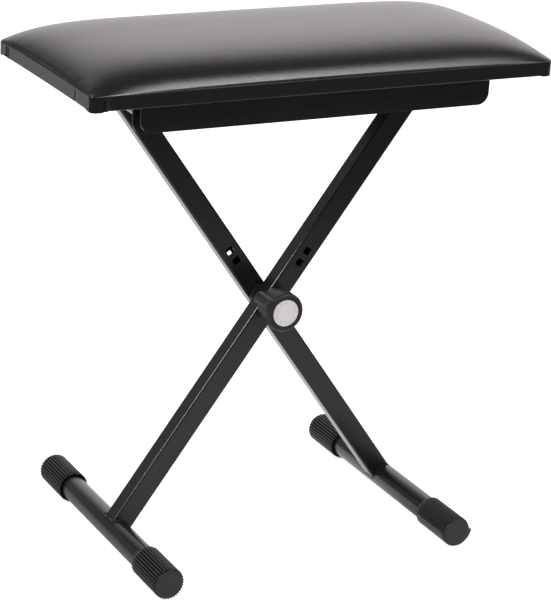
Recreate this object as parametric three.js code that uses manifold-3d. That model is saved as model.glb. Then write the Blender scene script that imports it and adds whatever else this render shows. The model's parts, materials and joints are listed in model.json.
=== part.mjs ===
// A folding keyboard bench: a padded seat on two steel rails, carried by two crossed legs that close
// like scissors about one bolt with a hand knob. Lengths are millimetres.
// X runs along the seat, Y to its rear and Z up. The origin is on the floor, under the seat's centre.
import * as THREE from "three";
import { mergeVertices } from "three/addons/utils/BufferGeometryUtils.js";
import Module from "manifold-3d";

const wasm = await Module();
wasm.setup();

// Clearances
const FIT_GAP = 0.3;
const RUN_GAP = 0.3;
const CUT_OVERRUN = 2;

// Seat
const SEAT_LENGTH = 480;
const SEAT_DEPTH = 229;
const SEAT_CORNER_RADIUS = 10;
const SEAT_BAND_HEIGHT = 13.7;
const SEAT_CROWN = 27.5;
const SEAT_SIDE_DRAW = 1.2;
const CROWN_LENGTH_POWER = 7.4;
const CROWN_DEPTH_POWER = 2.8;
const CROWN_RIM_POWER = 24;
const CROWN_POWER = 0.6;
const COVER_THICKNESS = 1.2;
const COVER_TUCK = 15;
const BOARD_THICKNESS = 9;
const CLOTH_THICKNESS = 0.8;
const CLOTH_INSET = 8;

// Rails under the seat
const RAIL_SLOT_MARGIN = 25.4;
const RAIL_HINGE_MARGIN = 27.6;
const RAIL_WALL = 1.5;
const RAIL_WIDTH = 18.6;
const RAIL_OUTER_DEPTH = 27.9;
const RAIL_INNER_DEPTH = 32.9;
const RAIL_CORNER_RADIUS = 11.5;
const RAIL_INSET = 20.2;

// Screws that hold the rails to the board
const SCREW_RADIUS = 2;
const SCREW_LENGTH = 10;
const SCREW_HEAD_RADIUS = 4.5;
const SCREW_HEAD_HEIGHT = 2.4;
const SCREW_PLACE_SHARES = [0.1, 0.5, 0.9];

// Crossed legs
const REST_ANGLE = THREE.MathUtils.degToRad(54.3);
const CLOSED_ANGLE = THREE.MathUtils.degToRad(86);
const LOWER_ARM = 270.3;
const UPPER_ARM = 267;
const HINGE_X = 153.7;
const HINGE_DROP = 18.9;
const LEG_WIDTH = 22.1;
const LEG_DEPTH = 18.7;
const LEG_WALL = 1.5;
const LEG_CORNER_RADIUS = 2;
const LEG_GAP = 6;
const LEG_HOLE_SIZE = 7.5;
const LEG_HOLE_PLACES = [48.3, 61.8];

// Cross-bars at the tops of the legs, with their bolts, washers, bushes and end plugs
const BAR_RADIUS = 11.1;
const BAR_WALL = 1.5;
const BAR_BOLT_RADIUS = 3;
const BAR_BOLT_LENGTH = 22;
const BAR_BOLT_HEAD_RADIUS = 5.8;
const BAR_BOLT_HEAD_HEIGHT = 4;
const WASHER_RADIUS = 8.5;
const WASHER_THICKNESS = 1.2;
const BUSH_WALL = 2.2;
const BUSH_FLANGE_RADIUS = 9;
const BUSH_FLANGE_THICKNESS = 1.2;
const PLUG_LENGTH = 14;

// Feet
const FOOT_LENGTH = 286;
const FOOT_RADIUS = 12.5;
const FOOT_WALL = 1.5;
const CAP_WALL = 2.87;
const CAP_LENGTH = 53.5;
const CAP_END_WALL = 3;
const CAP_CHAMFER = 1;
const CAP_GROOVE_DEPTH = 1.4;
const CAP_RIBS = 33;
const CAP_RIB_TIP_SHARE = 0.48;
const LEVELLER_GROOVE_DEPTH = 0.8;
const LEVELLER_RIBS = 48;
const CAM_RISE = 2.8;
const CAM_START_DROP = 0.47;
const CAM_POWER = 2.8;
const WELD_RADIUS = 0.9;

// Lock at the crossing: bolt, toothed discs, spring and sleeves
const PIVOT_BOLT_RADIUS = 4;
const PIVOT_HEAD_RADIUS = 9.5;
const PIVOT_HEAD_HEIGHT = 4.5;
const PIVOT_NECK_SIZE = 8.4;
const DISC_RADIUS = 12.5;
const DISC_TOOTH_INNER_RADIUS = 9.4;
const DISC_TEETH = 24;
const DISC_TOOTH_HEIGHT = 1;
const DISC_TIP_GAP = 0.4;
const CUP_RADIUS = 8.4;
const CUP_WALL = 1.3;
const CUP_DEPTH = 6;
const CUP_FLOOR = 1.2;
const SLEEVE_WALL = 2;
const SPRING_WIRE_RADIUS = 0.6;
const SPRING_CURLS = 5;
const SPRING_STEPS_PER_CURL = 8;
const SPRING_SIDES = 5;

// Hand knob
const KNOB_RADIUS = 19;
const KNOB_HUB_RADIUS = 16.5;
const KNOB_HUB_LENGTH = 11;
const KNOB_LENGTH = 28;
const KNOB_ROUND = 1.8;
const KNOB_LOBE_RADIUS = 6.3;
const KNOB_LOBE_OFFSET = 17.6;
const KNOB_LOBE_ANGLE = THREE.MathUtils.degToRad(150);
const KNOB_LOBE_SETBACK = 1.2;
const KNOB_DISC_RADIUS = 13.5;
const KNOB_DISC_THICKNESS = 1;
const KNOB_WASHER_RADIUS = 11;
const KNOB_WASHER_THICKNESS = 1.5;
const INSERT_WALL = 2.6;
const INSERT_LENGTH = 12;
const KNOB_BORE_DEPTH = 21;
const PIVOT_BOLT_REACH = 18;

// Counts of flat sides that stand for round surfaces
const ROUND_SIDES = 28;
const SMALL_SIDES = 12;
const HEX_SIDES = 6;
const CORNER_STEPS = 4;
const LONG_SIDE_STEPS = 8;
const SHORT_SIDE_STEPS = 4;
const WELD_SIDES = 5;
const WELD_STEPS = 30;
const CAM_STEPS = 16;

// Places that follow from the sizes
const CAP_RADIUS = FOOT_RADIUS + FIT_GAP + CAP_WALL;
const PIVOT_X = HINGE_X - UPPER_ARM * Math.cos(REST_ANGLE);
const PIVOT_Z = CAP_RADIUS + LOWER_ARM * Math.sin(REST_ANGLE);
const FOOT_REACH = LOWER_ARM * Math.cos(REST_ANGLE);
const HINGE_Z = PIVOT_Z + UPPER_ARM * Math.sin(REST_ANGLE);
const SLIDE_REST_X = HINGE_X - 2 * UPPER_ARM * Math.cos(REST_ANGLE);
const SLIDE_CLOSED_X = HINGE_X - 2 * UPPER_ARM * Math.cos(CLOSED_ANGLE);
const SEAT_BOTTOM = HINGE_Z + HINGE_DROP;
const SEAT_TOP_EDGE = SEAT_BOTTOM + SEAT_BAND_HEIGHT;
const BOARD_BOTTOM = SEAT_BOTTOM + COVER_THICKNESS + FIT_GAP;
const BOARD_TOP = BOARD_BOTTOM + BOARD_THICKNESS;
const CLOTH_TOP = SEAT_BOTTOM - FIT_GAP;
const CLOTH_BOTTOM = CLOTH_TOP - CLOTH_THICKNESS;
const RAIL_TOP = CLOTH_BOTTOM - FIT_GAP;
const WEB_BOTTOM = RAIL_TOP - RAIL_WALL;
const RAIL_LEFT_X = SLIDE_REST_X - RAIL_SLOT_MARGIN;
const RAIL_RIGHT_X = HINGE_X + RAIL_HINGE_MARGIN;
const RAIL_OUTER_Y = SEAT_DEPTH / 2 - RAIL_INSET;
const RAIL_INNER_Y = RAIL_OUTER_Y - RAIL_WIDTH;
const RAIL_MID_Y = RAIL_OUTER_Y - RAIL_WIDTH / 2;
const BUSH_BORE = BAR_BOLT_RADIUS + RUN_GAP;
const BUSH_RADIUS = BUSH_BORE + BUSH_WALL;
const RAIL_HOLE_RADIUS = BUSH_RADIUS + RUN_GAP;
const BAR_END_Y = RAIL_INNER_Y - FIT_GAP - BUSH_FLANGE_THICKNESS - RUN_GAP;
const WASHER_Y = RAIL_INNER_Y + RAIL_WALL + RUN_GAP;
const BOLT_SEAT_Y = WASHER_Y + WASHER_THICKNESS + FIT_GAP;
const LEG_INNER_Y = LEG_GAP / 2;
const LEG_OUTER_Y = LEG_INNER_Y + LEG_DEPTH;
const PIVOT_BORE = PIVOT_BOLT_RADIUS + RUN_GAP;
const PIVOT_NECK_LENGTH = LEG_WALL + FIT_GAP;
const FOOT_END_Y = FOOT_LENGTH / 2;
const TUBE_END_Y = FOOT_END_Y - CAP_END_WALL - FIT_GAP;

// Colours and finishes
function painted() {
  return new THREE.MeshStandardMaterial({ color: 0x1d1c1b, roughness: 0.45, metalness: 0.1 });
}

function vinyl() {
  return new THREE.MeshStandardMaterial({ color: 0x17161a, roughness: 0.35, metalness: 0 });
}

function rubber() {
  return new THREE.MeshStandardMaterial({ color: 0x232221, roughness: 0.8, metalness: 0 });
}

function plastic() {
  return new THREE.MeshStandardMaterial({ color: 0x161515, roughness: 0.4, metalness: 0 });
}

function greyPlastic() {
  return new THREE.MeshStandardMaterial({ color: 0xcfcac9, roughness: 0.5, metalness: 0 });
}

function nylon() {
  return new THREE.MeshStandardMaterial({ color: 0xd8d6cf, roughness: 0.55, metalness: 0 });
}

function steel() {
  return new THREE.MeshStandardMaterial({ color: 0xb9bbbd, roughness: 0.3, metalness: 0.9 });
}

function brass() {
  return new THREE.MeshStandardMaterial({ color: 0xb08d4a, roughness: 0.35, metalness: 0.9 });
}

function plywood() {
  return new THREE.MeshStandardMaterial({ color: 0xb08a5b, roughness: 0.8, metalness: 0 });
}

function foam() {
  return new THREE.MeshStandardMaterial({ color: 0xd9cf9a, roughness: 0.95, metalness: 0 });
}

function blackCloth() {
  return new THREE.MeshStandardMaterial({ color: 0x1a1a1a, roughness: 0.95, metalness: 0 });
}

// Joining and cutting
function bodyOf(geometry) {
  const bare = geometry.clone();
  bare.deleteAttribute("normal");
  bare.deleteAttribute("uv");
  const merged = mergeVertices(bare);
  const index = merged.index.array;
  const kept = [];
  for (let i = 0; i < index.length; i += 3) {
    const [a, b, c] = [index[i], index[i + 1], index[i + 2]];
    if (a !== b && b !== c && c !== a) kept.push(a, b, c);
  }
  return new wasm.Manifold(
    new wasm.Mesh({
      numProp: 3,
      vertProperties: merged.attributes.position.array,
      triVerts: new Uint32Array(kept),
    }),
  );
}

function geometryOf(body) {
  const mesh = body.getMesh();
  const geometry = new THREE.BufferGeometry();
  geometry.setAttribute("position", new THREE.BufferAttribute(mesh.vertProperties, 3));
  geometry.setIndex(new THREE.BufferAttribute(mesh.triVerts, 1));
  geometry.computeVertexNormals();
  return geometry;
}

function cut(geometry, ...tools) {
  return geometryOf(tools.reduce((body, tool) => body.subtract(bodyOf(tool)), bodyOf(geometry)));
}

function join(geometry, ...others) {
  return geometryOf(others.reduce((body, other) => body.add(bodyOf(other)), bodyOf(geometry)));
}

// A closed surface through rings of points, each ring given in the same order, joined ring to ring.
// A ring of one point is a pole. When the rings close on themselves, the last is joined to the first.
// Each four-sided face is split along its shorter diagonal, so that two sheets that run side by side
// are split alike and keep their distance.
function surfaceThrough(rings, closes) {
  const points = [];
  const starts = [];
  for (const ring of rings) {
    starts.push(points.length);
    points.push(...ring);
  }
  const triangles = [];
  const bands = closes ? rings.length : rings.length - 1;
  for (let r = 0; r < bands; r++) {
    const [near, far] = [rings[r], rings[(r + 1) % rings.length]];
    const [a, b] = [starts[r], starts[(r + 1) % rings.length]];
    const count = Math.max(near.length, far.length);
    for (let i = 0; i < count; i++) {
      const next = (i + 1) % count;
      if (far.length === 1) triangles.push(a + i, a + next, b);
      else if (near.length === 1) triangles.push(a, b + next, b + i);
      else if (near[i].distanceTo(far[next]) < near[next].distanceTo(far[i])) {
        triangles.push(a + i, a + next, b + next, a + i, b + next, b + i);
      } else triangles.push(a + i, a + next, b + i, a + next, b + next, b + i);
    }
  }
  const geometry = new THREE.BufferGeometry();
  const flat = points.flatMap((point) => [point.x, point.y, point.z]);
  geometry.setAttribute("position", new THREE.Float32BufferAttribute(flat, 3));
  geometry.setIndex(triangles);
  geometry.computeVertexNormals();
  return geometry;
}

function sorted(a, b) {
  return a < b ? [a, b] : [b, a];
}

// Solids turned about the Y axis
function rodAlongY(radius, startY, endY, sides) {
  const profile = [
    new THREE.Vector2(0, startY),
    new THREE.Vector2(radius, startY),
    new THREE.Vector2(radius, endY),
    new THREE.Vector2(0, endY),
  ];
  return new THREE.LatheGeometry(profile, sides);
}

function tubeAlongY(innerRadius, outerRadius, startY, endY, sides) {
  const profile = [
    new THREE.Vector2(innerRadius, startY),
    new THREE.Vector2(outerRadius, startY),
    new THREE.Vector2(outerRadius, endY),
    new THREE.Vector2(innerRadius, endY),
    new THREE.Vector2(innerRadius, startY),
  ];
  return new THREE.LatheGeometry(profile, sides);
}

function hexAlongY(radius, startY, endY) {
  return rodAlongY(radius, startY, endY, HEX_SIDES);
}

// A flat shape drawn in X and Z, thickened along Y
function plateAlongY(shape, startY, endY) {
  const geometry = new THREE.ExtrudeGeometry(shape, {
    depth: endY - startY,
    bevelEnabled: false,
    curveSegments: CORNER_STEPS / 2,
  });
  geometry.rotateX(Math.PI / 2);
  geometry.translate(0, endY, 0);
  return geometry;
}

function polar(radius, angle) {
  return new THREE.Vector2(radius * Math.cos(angle), radius * Math.sin(angle));
}

function arcPoints(x, y, radius, start, turn, steps) {
  const centre = new THREE.Vector2(x, y);
  return Array.from({ length: steps + 1 }, (_, i) =>
    polar(radius, start + (turn * i) / steps).add(centre),
  );
}

function circlePoints(x, y, radius, sides) {
  return arcPoints(x, y, radius, 0, 2 * Math.PI, sides).slice(0, -1);
}

function roundedRectangle(halfWidth, halfHeight, radius) {
  const shape = new THREE.Shape();
  const [left, right, low, high] = [-halfWidth, halfWidth, -halfHeight, halfHeight];
  shape.absarc(right - radius, high - radius, radius, 0, Math.PI / 2, false);
  shape.absarc(left + radius, high - radius, radius, Math.PI / 2, Math.PI, false);
  shape.absarc(left + radius, low + radius, radius, Math.PI, Math.PI * 1.5, false);
  shape.absarc(right - radius, low + radius, radius, Math.PI * 1.5, Math.PI * 2, false);
  shape.closePath();
  return shape;
}

// Seat outline: a rounded rectangle whose sides pull in a little midway, drawn inset by some length
function seatOutline(inset) {
  const halfLength = SEAT_LENGTH / 2 - inset;
  const halfDepth = SEAT_DEPTH / 2 - inset;
  const radius = Math.max(SEAT_CORNER_RADIUS - inset, FIT_GAP);
  const corners = [
    [halfLength - radius, halfDepth - radius, 0, LONG_SIDE_STEPS],
    [radius - halfLength, halfDepth - radius, 1, SHORT_SIDE_STEPS],
    [radius - halfLength, radius - halfDepth, 2, LONG_SIDE_STEPS],
    [halfLength - radius, radius - halfDepth, 3, SHORT_SIDE_STEPS],
  ];
  const points = [];
  corners.forEach(([x, y, quarter, steps], corner) => {
    for (let step = 0; step <= CORNER_STEPS; step++) {
      const angle = (quarter + step / CORNER_STEPS) * (Math.PI / 2);
      points.push(new THREE.Vector2(x + radius * Math.cos(angle), y + radius * Math.sin(angle)));
    }
    const start = points[points.length - 1];
    const [nextX, nextY, nextQuarter] = corners[(corner + 1) % corners.length];
    const nextAngle = nextQuarter * (Math.PI / 2);
    const end = new THREE.Vector2(
      nextX + radius * Math.cos(nextAngle),
      nextY + radius * Math.sin(nextAngle),
    );
    for (let step = 1; step < steps; step++) points.push(start.clone().lerp(end, step / steps));
  });
  return points.map((point) => drawnIn(point, halfLength, halfDepth));
}

function drawnIn(point, halfLength, halfDepth) {
  const [along, across] = [point.x / halfLength, point.y / halfDepth];
  const sideX = SEAT_SIDE_DRAW * (1 - across * across) * along;
  const sideY = SEAT_SIDE_DRAW * (1 - along * along) * across;
  return new THREE.Vector2(point.x - sideX, point.y - sideY);
}

// Height of the crown over the seat's edge line, at a point that lies at a share of the outline
function crownAt(point, share) {
  const along = Math.min(Math.abs(point.x) / (SEAT_LENGTH / 2), 1);
  const across = Math.min(Math.abs(point.y) / (SEAT_DEPTH / 2), 1);
  const fall = (1 - along ** CROWN_LENGTH_POWER) * (1 - across ** CROWN_DEPTH_POWER);
  const rim = 1 - share ** CROWN_RIM_POWER;
  return SEAT_CROWN * (fall * rim) ** CROWN_POWER;
}

function levelRing(inset, height) {
  return seatOutline(inset).map((point) => new THREE.Vector3(point.x, point.y, height));
}

const CROWN_RING_SHARES = [1, 0.988, 0.965, 0.92, 0.84, 0.7, 0.5, 0.26];

// Rings over the crown. An inset ring is drawn in and lowered alike, so the sheets keep their distance.
function crownRings(inset) {
  const outer = seatOutline(0);
  const outline = seatOutline(inset);
  const edge = SEAT_TOP_EDGE - inset;
  const rings = CROWN_RING_SHARES.map((share) =>
    outline.map((point, i) => {
      const rise = crownAt(outer[i].clone().multiplyScalar(share), share);
      return new THREE.Vector3(point.x * share, point.y * share, edge + rise);
    }),
  );
  rings.push([new THREE.Vector3(0, 0, edge + SEAT_CROWN)]);
  return rings;
}

// Seat pieces. The cover is one sheet: from the pole of its inside, down and round the tucked hem,
// and up to the pole of its outside.
function seatCover() {
  const rings = [
    ...crownRings(COVER_THICKNESS).reverse(),
    levelRing(COVER_THICKNESS, SEAT_BOTTOM + COVER_THICKNESS),
    levelRing(COVER_TUCK, SEAT_BOTTOM + COVER_THICKNESS),
    levelRing(COVER_TUCK, SEAT_BOTTOM),
    levelRing(0, SEAT_BOTTOM),
    ...crownRings(0),
  ];
  return surfaceThrough(rings, false);
}

function seatFoam() {
  const inset = COVER_THICKNESS + FIT_GAP;
  const bottom = BOARD_TOP + FIT_GAP;
  const centre = [new THREE.Vector3(0, 0, bottom)];
  return surfaceThrough([centre, levelRing(inset, bottom), ...crownRings(inset)], false);
}

function screwPlaces() {
  const places = [];
  for (const side of [-1, 1]) {
    for (const share of SCREW_PLACE_SHARES) {
      places.push([RAIL_LEFT_X + share * (RAIL_RIGHT_X - RAIL_LEFT_X), side * RAIL_MID_Y]);
    }
  }
  return places;
}

function addRoundHoles(shape, places, radius) {
  for (const [x, y] of places) {
    shape.holes.push(new THREE.Path(circlePoints(x, y, radius, SMALL_SIDES)));
  }
  return shape;
}

function slab(shape, bottom, top) {
  const geometry = new THREE.ExtrudeGeometry(shape, {
    depth: top - bottom,
    bevelEnabled: false,
    curveSegments: CORNER_STEPS / 2,
  });
  geometry.translate(0, 0, bottom);
  return geometry;
}

function seatBoard() {
  const outline = new THREE.Shape(seatOutline(COVER_THICKNESS + FIT_GAP));
  const holes = screwPlaces();
  const reach = SCREW_LENGTH - (BOARD_BOTTOM - WEB_BOTTOM);
  const pilots = holes.map(([x, y]) => {
    const pilot = rodAlongY(SCREW_RADIUS + FIT_GAP, -CUT_OVERRUN, reach + FIT_GAP, SMALL_SIDES);
    pilot.rotateX(Math.PI / 2);
    pilot.translate(x, y, BOARD_BOTTOM);
    return pilot;
  });
  return cut(slab(outline, BOARD_BOTTOM, BOARD_TOP), ...pilots);
}

function bottomCloth() {
  const outline = new THREE.Shape(seatOutline(CLOTH_INSET));
  addRoundHoles(outline, screwPlaces(), SCREW_RADIUS + FIT_GAP);
  return slab(outline, CLOTH_BOTTOM, CLOTH_TOP);
}

// A flange is a plate that hangs from the web, with its lower corners rounded.
function flangeShape(depth) {
  const low = RAIL_TOP - depth + RAIL_CORNER_RADIUS;
  const [left, right] = [RAIL_LEFT_X + RAIL_CORNER_RADIUS, RAIL_RIGHT_X - RAIL_CORNER_RADIUS];
  return new THREE.Shape([
    new THREE.Vector2(RAIL_RIGHT_X, RAIL_TOP),
    new THREE.Vector2(RAIL_LEFT_X, RAIL_TOP),
    ...arcPoints(left, low, RAIL_CORNER_RADIUS, Math.PI, Math.PI / 2, CORNER_STEPS),
    ...arcPoints(right, low, RAIL_CORNER_RADIUS, -Math.PI / 2, Math.PI / 2, CORNER_STEPS),
  ]);
}

function slotPath(startX, endX, height, radius) {
  return new THREE.Path([
    ...arcPoints(startX, height, radius, Math.PI / 2, Math.PI, SMALL_SIDES / 2),
    ...arcPoints(endX, height, radius, -Math.PI / 2, Math.PI, SMALL_SIDES / 2),
  ]);
}

function rail(side) {
  const inner = flangeShape(RAIL_INNER_DEPTH);
  inner.holes.push(slotPath(SLIDE_REST_X, SLIDE_CLOSED_X, HINGE_Z, RAIL_HOLE_RADIUS));
  addRoundHoles(inner, [[HINGE_X, HINGE_Z]], RAIL_HOLE_RADIUS);
  const [near, far] = sorted(side * RAIL_OUTER_Y, side * RAIL_INNER_Y);
  const web = new THREE.Shape([
    new THREE.Vector2(RAIL_LEFT_X, near),
    new THREE.Vector2(RAIL_RIGHT_X, near),
    new THREE.Vector2(RAIL_RIGHT_X, far),
    new THREE.Vector2(RAIL_LEFT_X, far),
  ]);
  const places = screwPlaces().filter(([, y]) => Math.sign(y) === side);
  addRoundHoles(web, places, SCREW_RADIUS + FIT_GAP);
  const outerStart = side < 0 ? near : far - RAIL_WALL;
  const innerStart = side < 0 ? far - RAIL_WALL : near;
  return join(
    slab(web, WEB_BOTTOM, RAIL_TOP),
    plateAlongY(flangeShape(RAIL_OUTER_DEPTH), outerStart, outerStart + RAIL_WALL),
    plateAlongY(inner, innerStart, innerStart + RAIL_WALL),
  );
}

// A pan-head screw that stands upright, its head under the web
function railScrew() {
  const headTop = -FIT_GAP;
  const headLow = headTop - SCREW_HEAD_HEIGHT;
  const profile = [
    new THREE.Vector2(0, headLow),
    new THREE.Vector2(SCREW_HEAD_RADIUS - SCREW_HEAD_HEIGHT / 2, headLow),
    new THREE.Vector2(SCREW_HEAD_RADIUS, headLow + SCREW_HEAD_HEIGHT / 2),
    new THREE.Vector2(SCREW_HEAD_RADIUS, headTop),
    new THREE.Vector2(SCREW_RADIUS, headTop),
    new THREE.Vector2(SCREW_RADIUS, SCREW_LENGTH - SCREW_RADIUS),
    new THREE.Vector2(0, SCREW_LENGTH),
  ];
  const screw = new THREE.LatheGeometry(profile, SMALL_SIDES);
  screw.rotateX(Math.PI / 2);
  return screw;
}

// Leg tube, standing along Z with the pivot at zero, the foot below and the cross-bar above.
// The side is -1 for the leg in front of the crossing and 1 for the one behind it.
function legTube(side) {
  const outline = roundedRectangle(LEG_WIDTH / 2, LEG_DEPTH / 2, LEG_CORNER_RADIUS);
  const bore = roundedRectangle(
    LEG_WIDTH / 2 - LEG_WALL,
    LEG_DEPTH / 2 - LEG_WALL,
    Math.max(LEG_CORNER_RADIUS - LEG_WALL, FIT_GAP),
  );
  outline.holes.push(new THREE.Path(bore.getPoints(CORNER_STEPS / 2).reverse()));
  const tube = new THREE.ExtrudeGeometry(outline, {
    depth: LOWER_ARM + UPPER_ARM,
    bevelEnabled: false,
    curveSegments: CORNER_STEPS / 2,
  });
  const middleY = side * (LEG_INNER_Y + LEG_DEPTH / 2);
  tube.translate(0, middleY, -LOWER_ARM);
  const outerY = side * LEG_OUTER_Y;
  const innerY = side * LEG_INNER_Y;
  const neckHole = squareHole(PIVOT_NECK_SIZE + 2 * FIT_GAP, 0);
  return cut(
    tube,
    saddleCut(FOOT_RADIUS, -LOWER_ARM),
    saddleCut(BAR_RADIUS, UPPER_ARM),
    wallCut(roundHole(CUP_RADIUS + FIT_GAP, ROUND_SIDES), innerY),
    wallCut(side < 0 ? roundHole(PIVOT_BORE, SMALL_SIDES) : neckHole, outerY),
    ...LEG_HOLE_PLACES.map((place) =>
      throughCut(squareHole(LEG_HOLE_SIZE, place), middleY),
    ),
  );
}

function saddleCut(radius, height) {
  const reach = LEG_OUTER_Y + CUT_OVERRUN;
  const rod = rodAlongY(radius + FIT_GAP, -reach, reach, ROUND_SIDES);
  rod.translate(0, 0, height);
  return rod;
}

function roundHole(radius, sides) {
  return new THREE.Shape(circlePoints(0, 0, radius, sides));
}

function squareHole(size, height) {
  const half = size / 2;
  const corners = [
    new THREE.Vector2(-half, height - half),
    new THREE.Vector2(half, height - half),
    new THREE.Vector2(half, height + half),
    new THREE.Vector2(-half, height + half),
  ];
  return new THREE.Shape(corners);
}

// Cuts one wall of the leg tube, at the face given
function wallCut(shape, faceY) {
  return plateAlongY(shape, faceY - LEG_WALL - CUT_OVERRUN, faceY + LEG_WALL + CUT_OVERRUN);
}

function throughCut(shape, middleY) {
  const reach = LEG_DEPTH / 2 + CUT_OVERRUN;
  return plateAlongY(shape, middleY - reach, middleY + reach);
}

// Weld bead round the leg's end, lying in the corner between the leg's faces and the round tube
function weldBead(side, tubeRadius, height, towards) {
  const away = WELD_RADIUS + FIT_GAP;
  const outline = roundedRectangle(LEG_WIDTH / 2 + away, LEG_DEPTH / 2 + away, LEG_CORNER_RADIUS + away);
  const path = outline.getSpacedPoints(WELD_STEPS).slice(0, -1);
  const middleY = side * (LEG_INNER_Y + LEG_DEPTH / 2);
  const seat = tubeRadius + away;
  const centres = path.map((point) => {
    const rise = Math.sqrt(Math.max(seat * seat - point.x * point.x, 0));
    return new THREE.Vector3(point.x, middleY + point.y, height + towards * rise);
  });
  const rings = centres.map((centre, i) => {
    const before = centres[(i + centres.length - 1) % centres.length];
    const after = centres[(i + 1) % centres.length];
    const forward = after.clone().sub(before).normalize();
    const outward = new THREE.Vector3(centre.x, centre.y - middleY, 0).normalize();
    outward.addScaledVector(forward, -outward.dot(forward)).normalize();
    const upward = new THREE.Vector3().crossVectors(forward, outward);
    return Array.from({ length: WELD_SIDES }, (_, k) => {
      const angle = (2 * Math.PI * k) / WELD_SIDES;
      return centre
        .clone()
        .addScaledVector(outward, WELD_RADIUS * Math.cos(angle))
        .addScaledVector(upward, WELD_RADIUS * Math.sin(angle));
    });
  });
  return surfaceThrough(rings, true);
}

function crossbar() {
  return tubeAlongY(BAR_RADIUS - BAR_WALL, BAR_RADIUS, -BAR_END_Y, BAR_END_Y, ROUND_SIDES);
}

// A plug that closes each end of a cross-bar and takes its bolt
function endPlug(side) {
  const [start, end] = sorted(side * (BAR_END_Y - PLUG_LENGTH), side * BAR_END_Y);
  return tubeAlongY(BUSH_BORE, BAR_RADIUS - BAR_WALL - FIT_GAP, start, end, SMALL_SIDES);
}

// Flanged bush: its sleeve fills the rail's hole and its flange keeps the bar off the rail.
function railBush(side) {
  const flangeOuter = RAIL_INNER_Y - FIT_GAP;
  const flangeInner = flangeOuter - BUSH_FLANGE_THICKNESS;
  const sleeveEnd = RAIL_INNER_Y + RAIL_WALL;
  const profile = [
    new THREE.Vector2(BUSH_BORE, flangeInner),
    new THREE.Vector2(BUSH_FLANGE_RADIUS, flangeInner),
    new THREE.Vector2(BUSH_FLANGE_RADIUS, flangeOuter),
    new THREE.Vector2(BUSH_RADIUS, flangeOuter),
    new THREE.Vector2(BUSH_RADIUS, sleeveEnd),
    new THREE.Vector2(BUSH_BORE, sleeveEnd),
    new THREE.Vector2(BUSH_BORE, flangeInner),
  ];
  return facing(new THREE.LatheGeometry(profile, SMALL_SIDES), side);
}

// Turns a piece made for the rear side, at positive Y, to the front side when the side is -1
function facing(geometry, side) {
  if (side < 0) geometry.rotateX(Math.PI);
  return geometry;
}

function barWasher(side) {
  const [start, end] = sorted(side * WASHER_Y, side * (WASHER_Y + WASHER_THICKNESS));
  return tubeAlongY(BUSH_BORE, WASHER_RADIUS, start, end, SMALL_SIDES);
}

function barBolt(side) {
  const head = hexAlongY(BAR_BOLT_HEAD_RADIUS, BOLT_SEAT_Y, BOLT_SEAT_Y + BAR_BOLT_HEAD_HEIGHT);
  const tip = BOLT_SEAT_Y - BAR_BOLT_LENGTH;
  const shank = rodAlongY(BAR_BOLT_RADIUS, tip, BOLT_SEAT_Y + BAR_BOLT_HEAD_HEIGHT / 2, SMALL_SIDES);
  return facing(join(head, shank), side);
}

// Feet
function footTube() {
  return tubeAlongY(FOOT_RADIUS - FOOT_WALL, FOOT_RADIUS, -TUBE_END_Y, TUBE_END_Y, ROUND_SIDES);
}

// The rib outline has its tips on flats that lie at the cap's radius, one of them straight down.
function ribPoints(ribs, grooveDepth, first, last) {
  const pitch = (2 * Math.PI) / ribs;
  const halfTip = (pitch * CAP_RIB_TIP_SHARE) / 2;
  const tipRadius = CAP_RADIUS / Math.cos(halfTip);
  const grooveRadius = CAP_RADIUS - grooveDepth;
  const points = [];
  for (let rib = first; rib < last; rib++) {
    const centre = rib * pitch - Math.PI / 2;
    points.push(polar(tipRadius, centre - halfTip));
    points.push(polar(tipRadius, centre + halfTip));
    points.push(polar(grooveRadius, centre + pitch / 2));
  }
  return points;
}

function capBore(side) {
  const inner = FOOT_END_Y - CAP_LENGTH - CUT_OVERRUN;
  const [start, end] = sorted(side * inner, side * (FOOT_END_Y - CAP_END_WALL));
  return rodAlongY(FOOT_RADIUS + FIT_GAP, start, end, ROUND_SIDES);
}

// The turned envelope that rounds off both ends of a cap, wide enough for the outline given
function capEnvelope(radius) {
  const [start, end] = [FOOT_END_Y - CAP_LENGTH, FOOT_END_Y];
  const profile = [
    new THREE.Vector2(0, start),
    new THREE.Vector2(radius - CAP_GROOVE_DEPTH, start),
    new THREE.Vector2(radius + CUT_OVERRUN, start + CAP_CHAMFER + CUT_OVERRUN * 2),
    new THREE.Vector2(radius + CUT_OVERRUN, end),
    new THREE.Vector2(0, end),
  ];
  return new THREE.LatheGeometry(profile, ROUND_SIDES);
}

function capFrom(points, side, radius) {
  const [start, end] = sorted(side * (FOOT_END_Y - CAP_LENGTH), side * FOOT_END_Y);
  const block = bodyOf(plateAlongY(new THREE.Shape(points), start, end));
  const envelope = bodyOf(facing(capEnvelope(radius), side));
  return geometryOf(block.intersect(envelope).subtract(bodyOf(capBore(side))));
}

function ribbedCap(side) {
  return capFrom(ribPoints(CAP_RIBS, CAP_GROOVE_DEPTH, 0, CAP_RIBS), side, CAP_RADIUS);
}

// The levelling cap: ribbed above, and below a smooth cam that grows from the left to a lip on the right
function levellingCap(side) {
  const baseRadius = CAP_RADIUS - CAM_START_DROP;
  const [first, last] = [LEVELLER_RIBS / 4, (LEVELLER_RIBS * 3) / 4];
  const points = ribPoints(LEVELLER_RIBS, LEVELLER_GROOVE_DEPTH, first, last).map((point) =>
    point.multiplyScalar(baseRadius / CAP_RADIUS),
  );
  for (let step = 0; step <= CAM_STEPS; step++) {
    const share = step / CAM_STEPS;
    const radius = baseRadius + CAM_RISE * share ** CAM_POWER;
    points.push(polar(radius, Math.PI * (1 + share)));
  }
  return capFrom(points, side, baseRadius + CAM_RISE);
}

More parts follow.
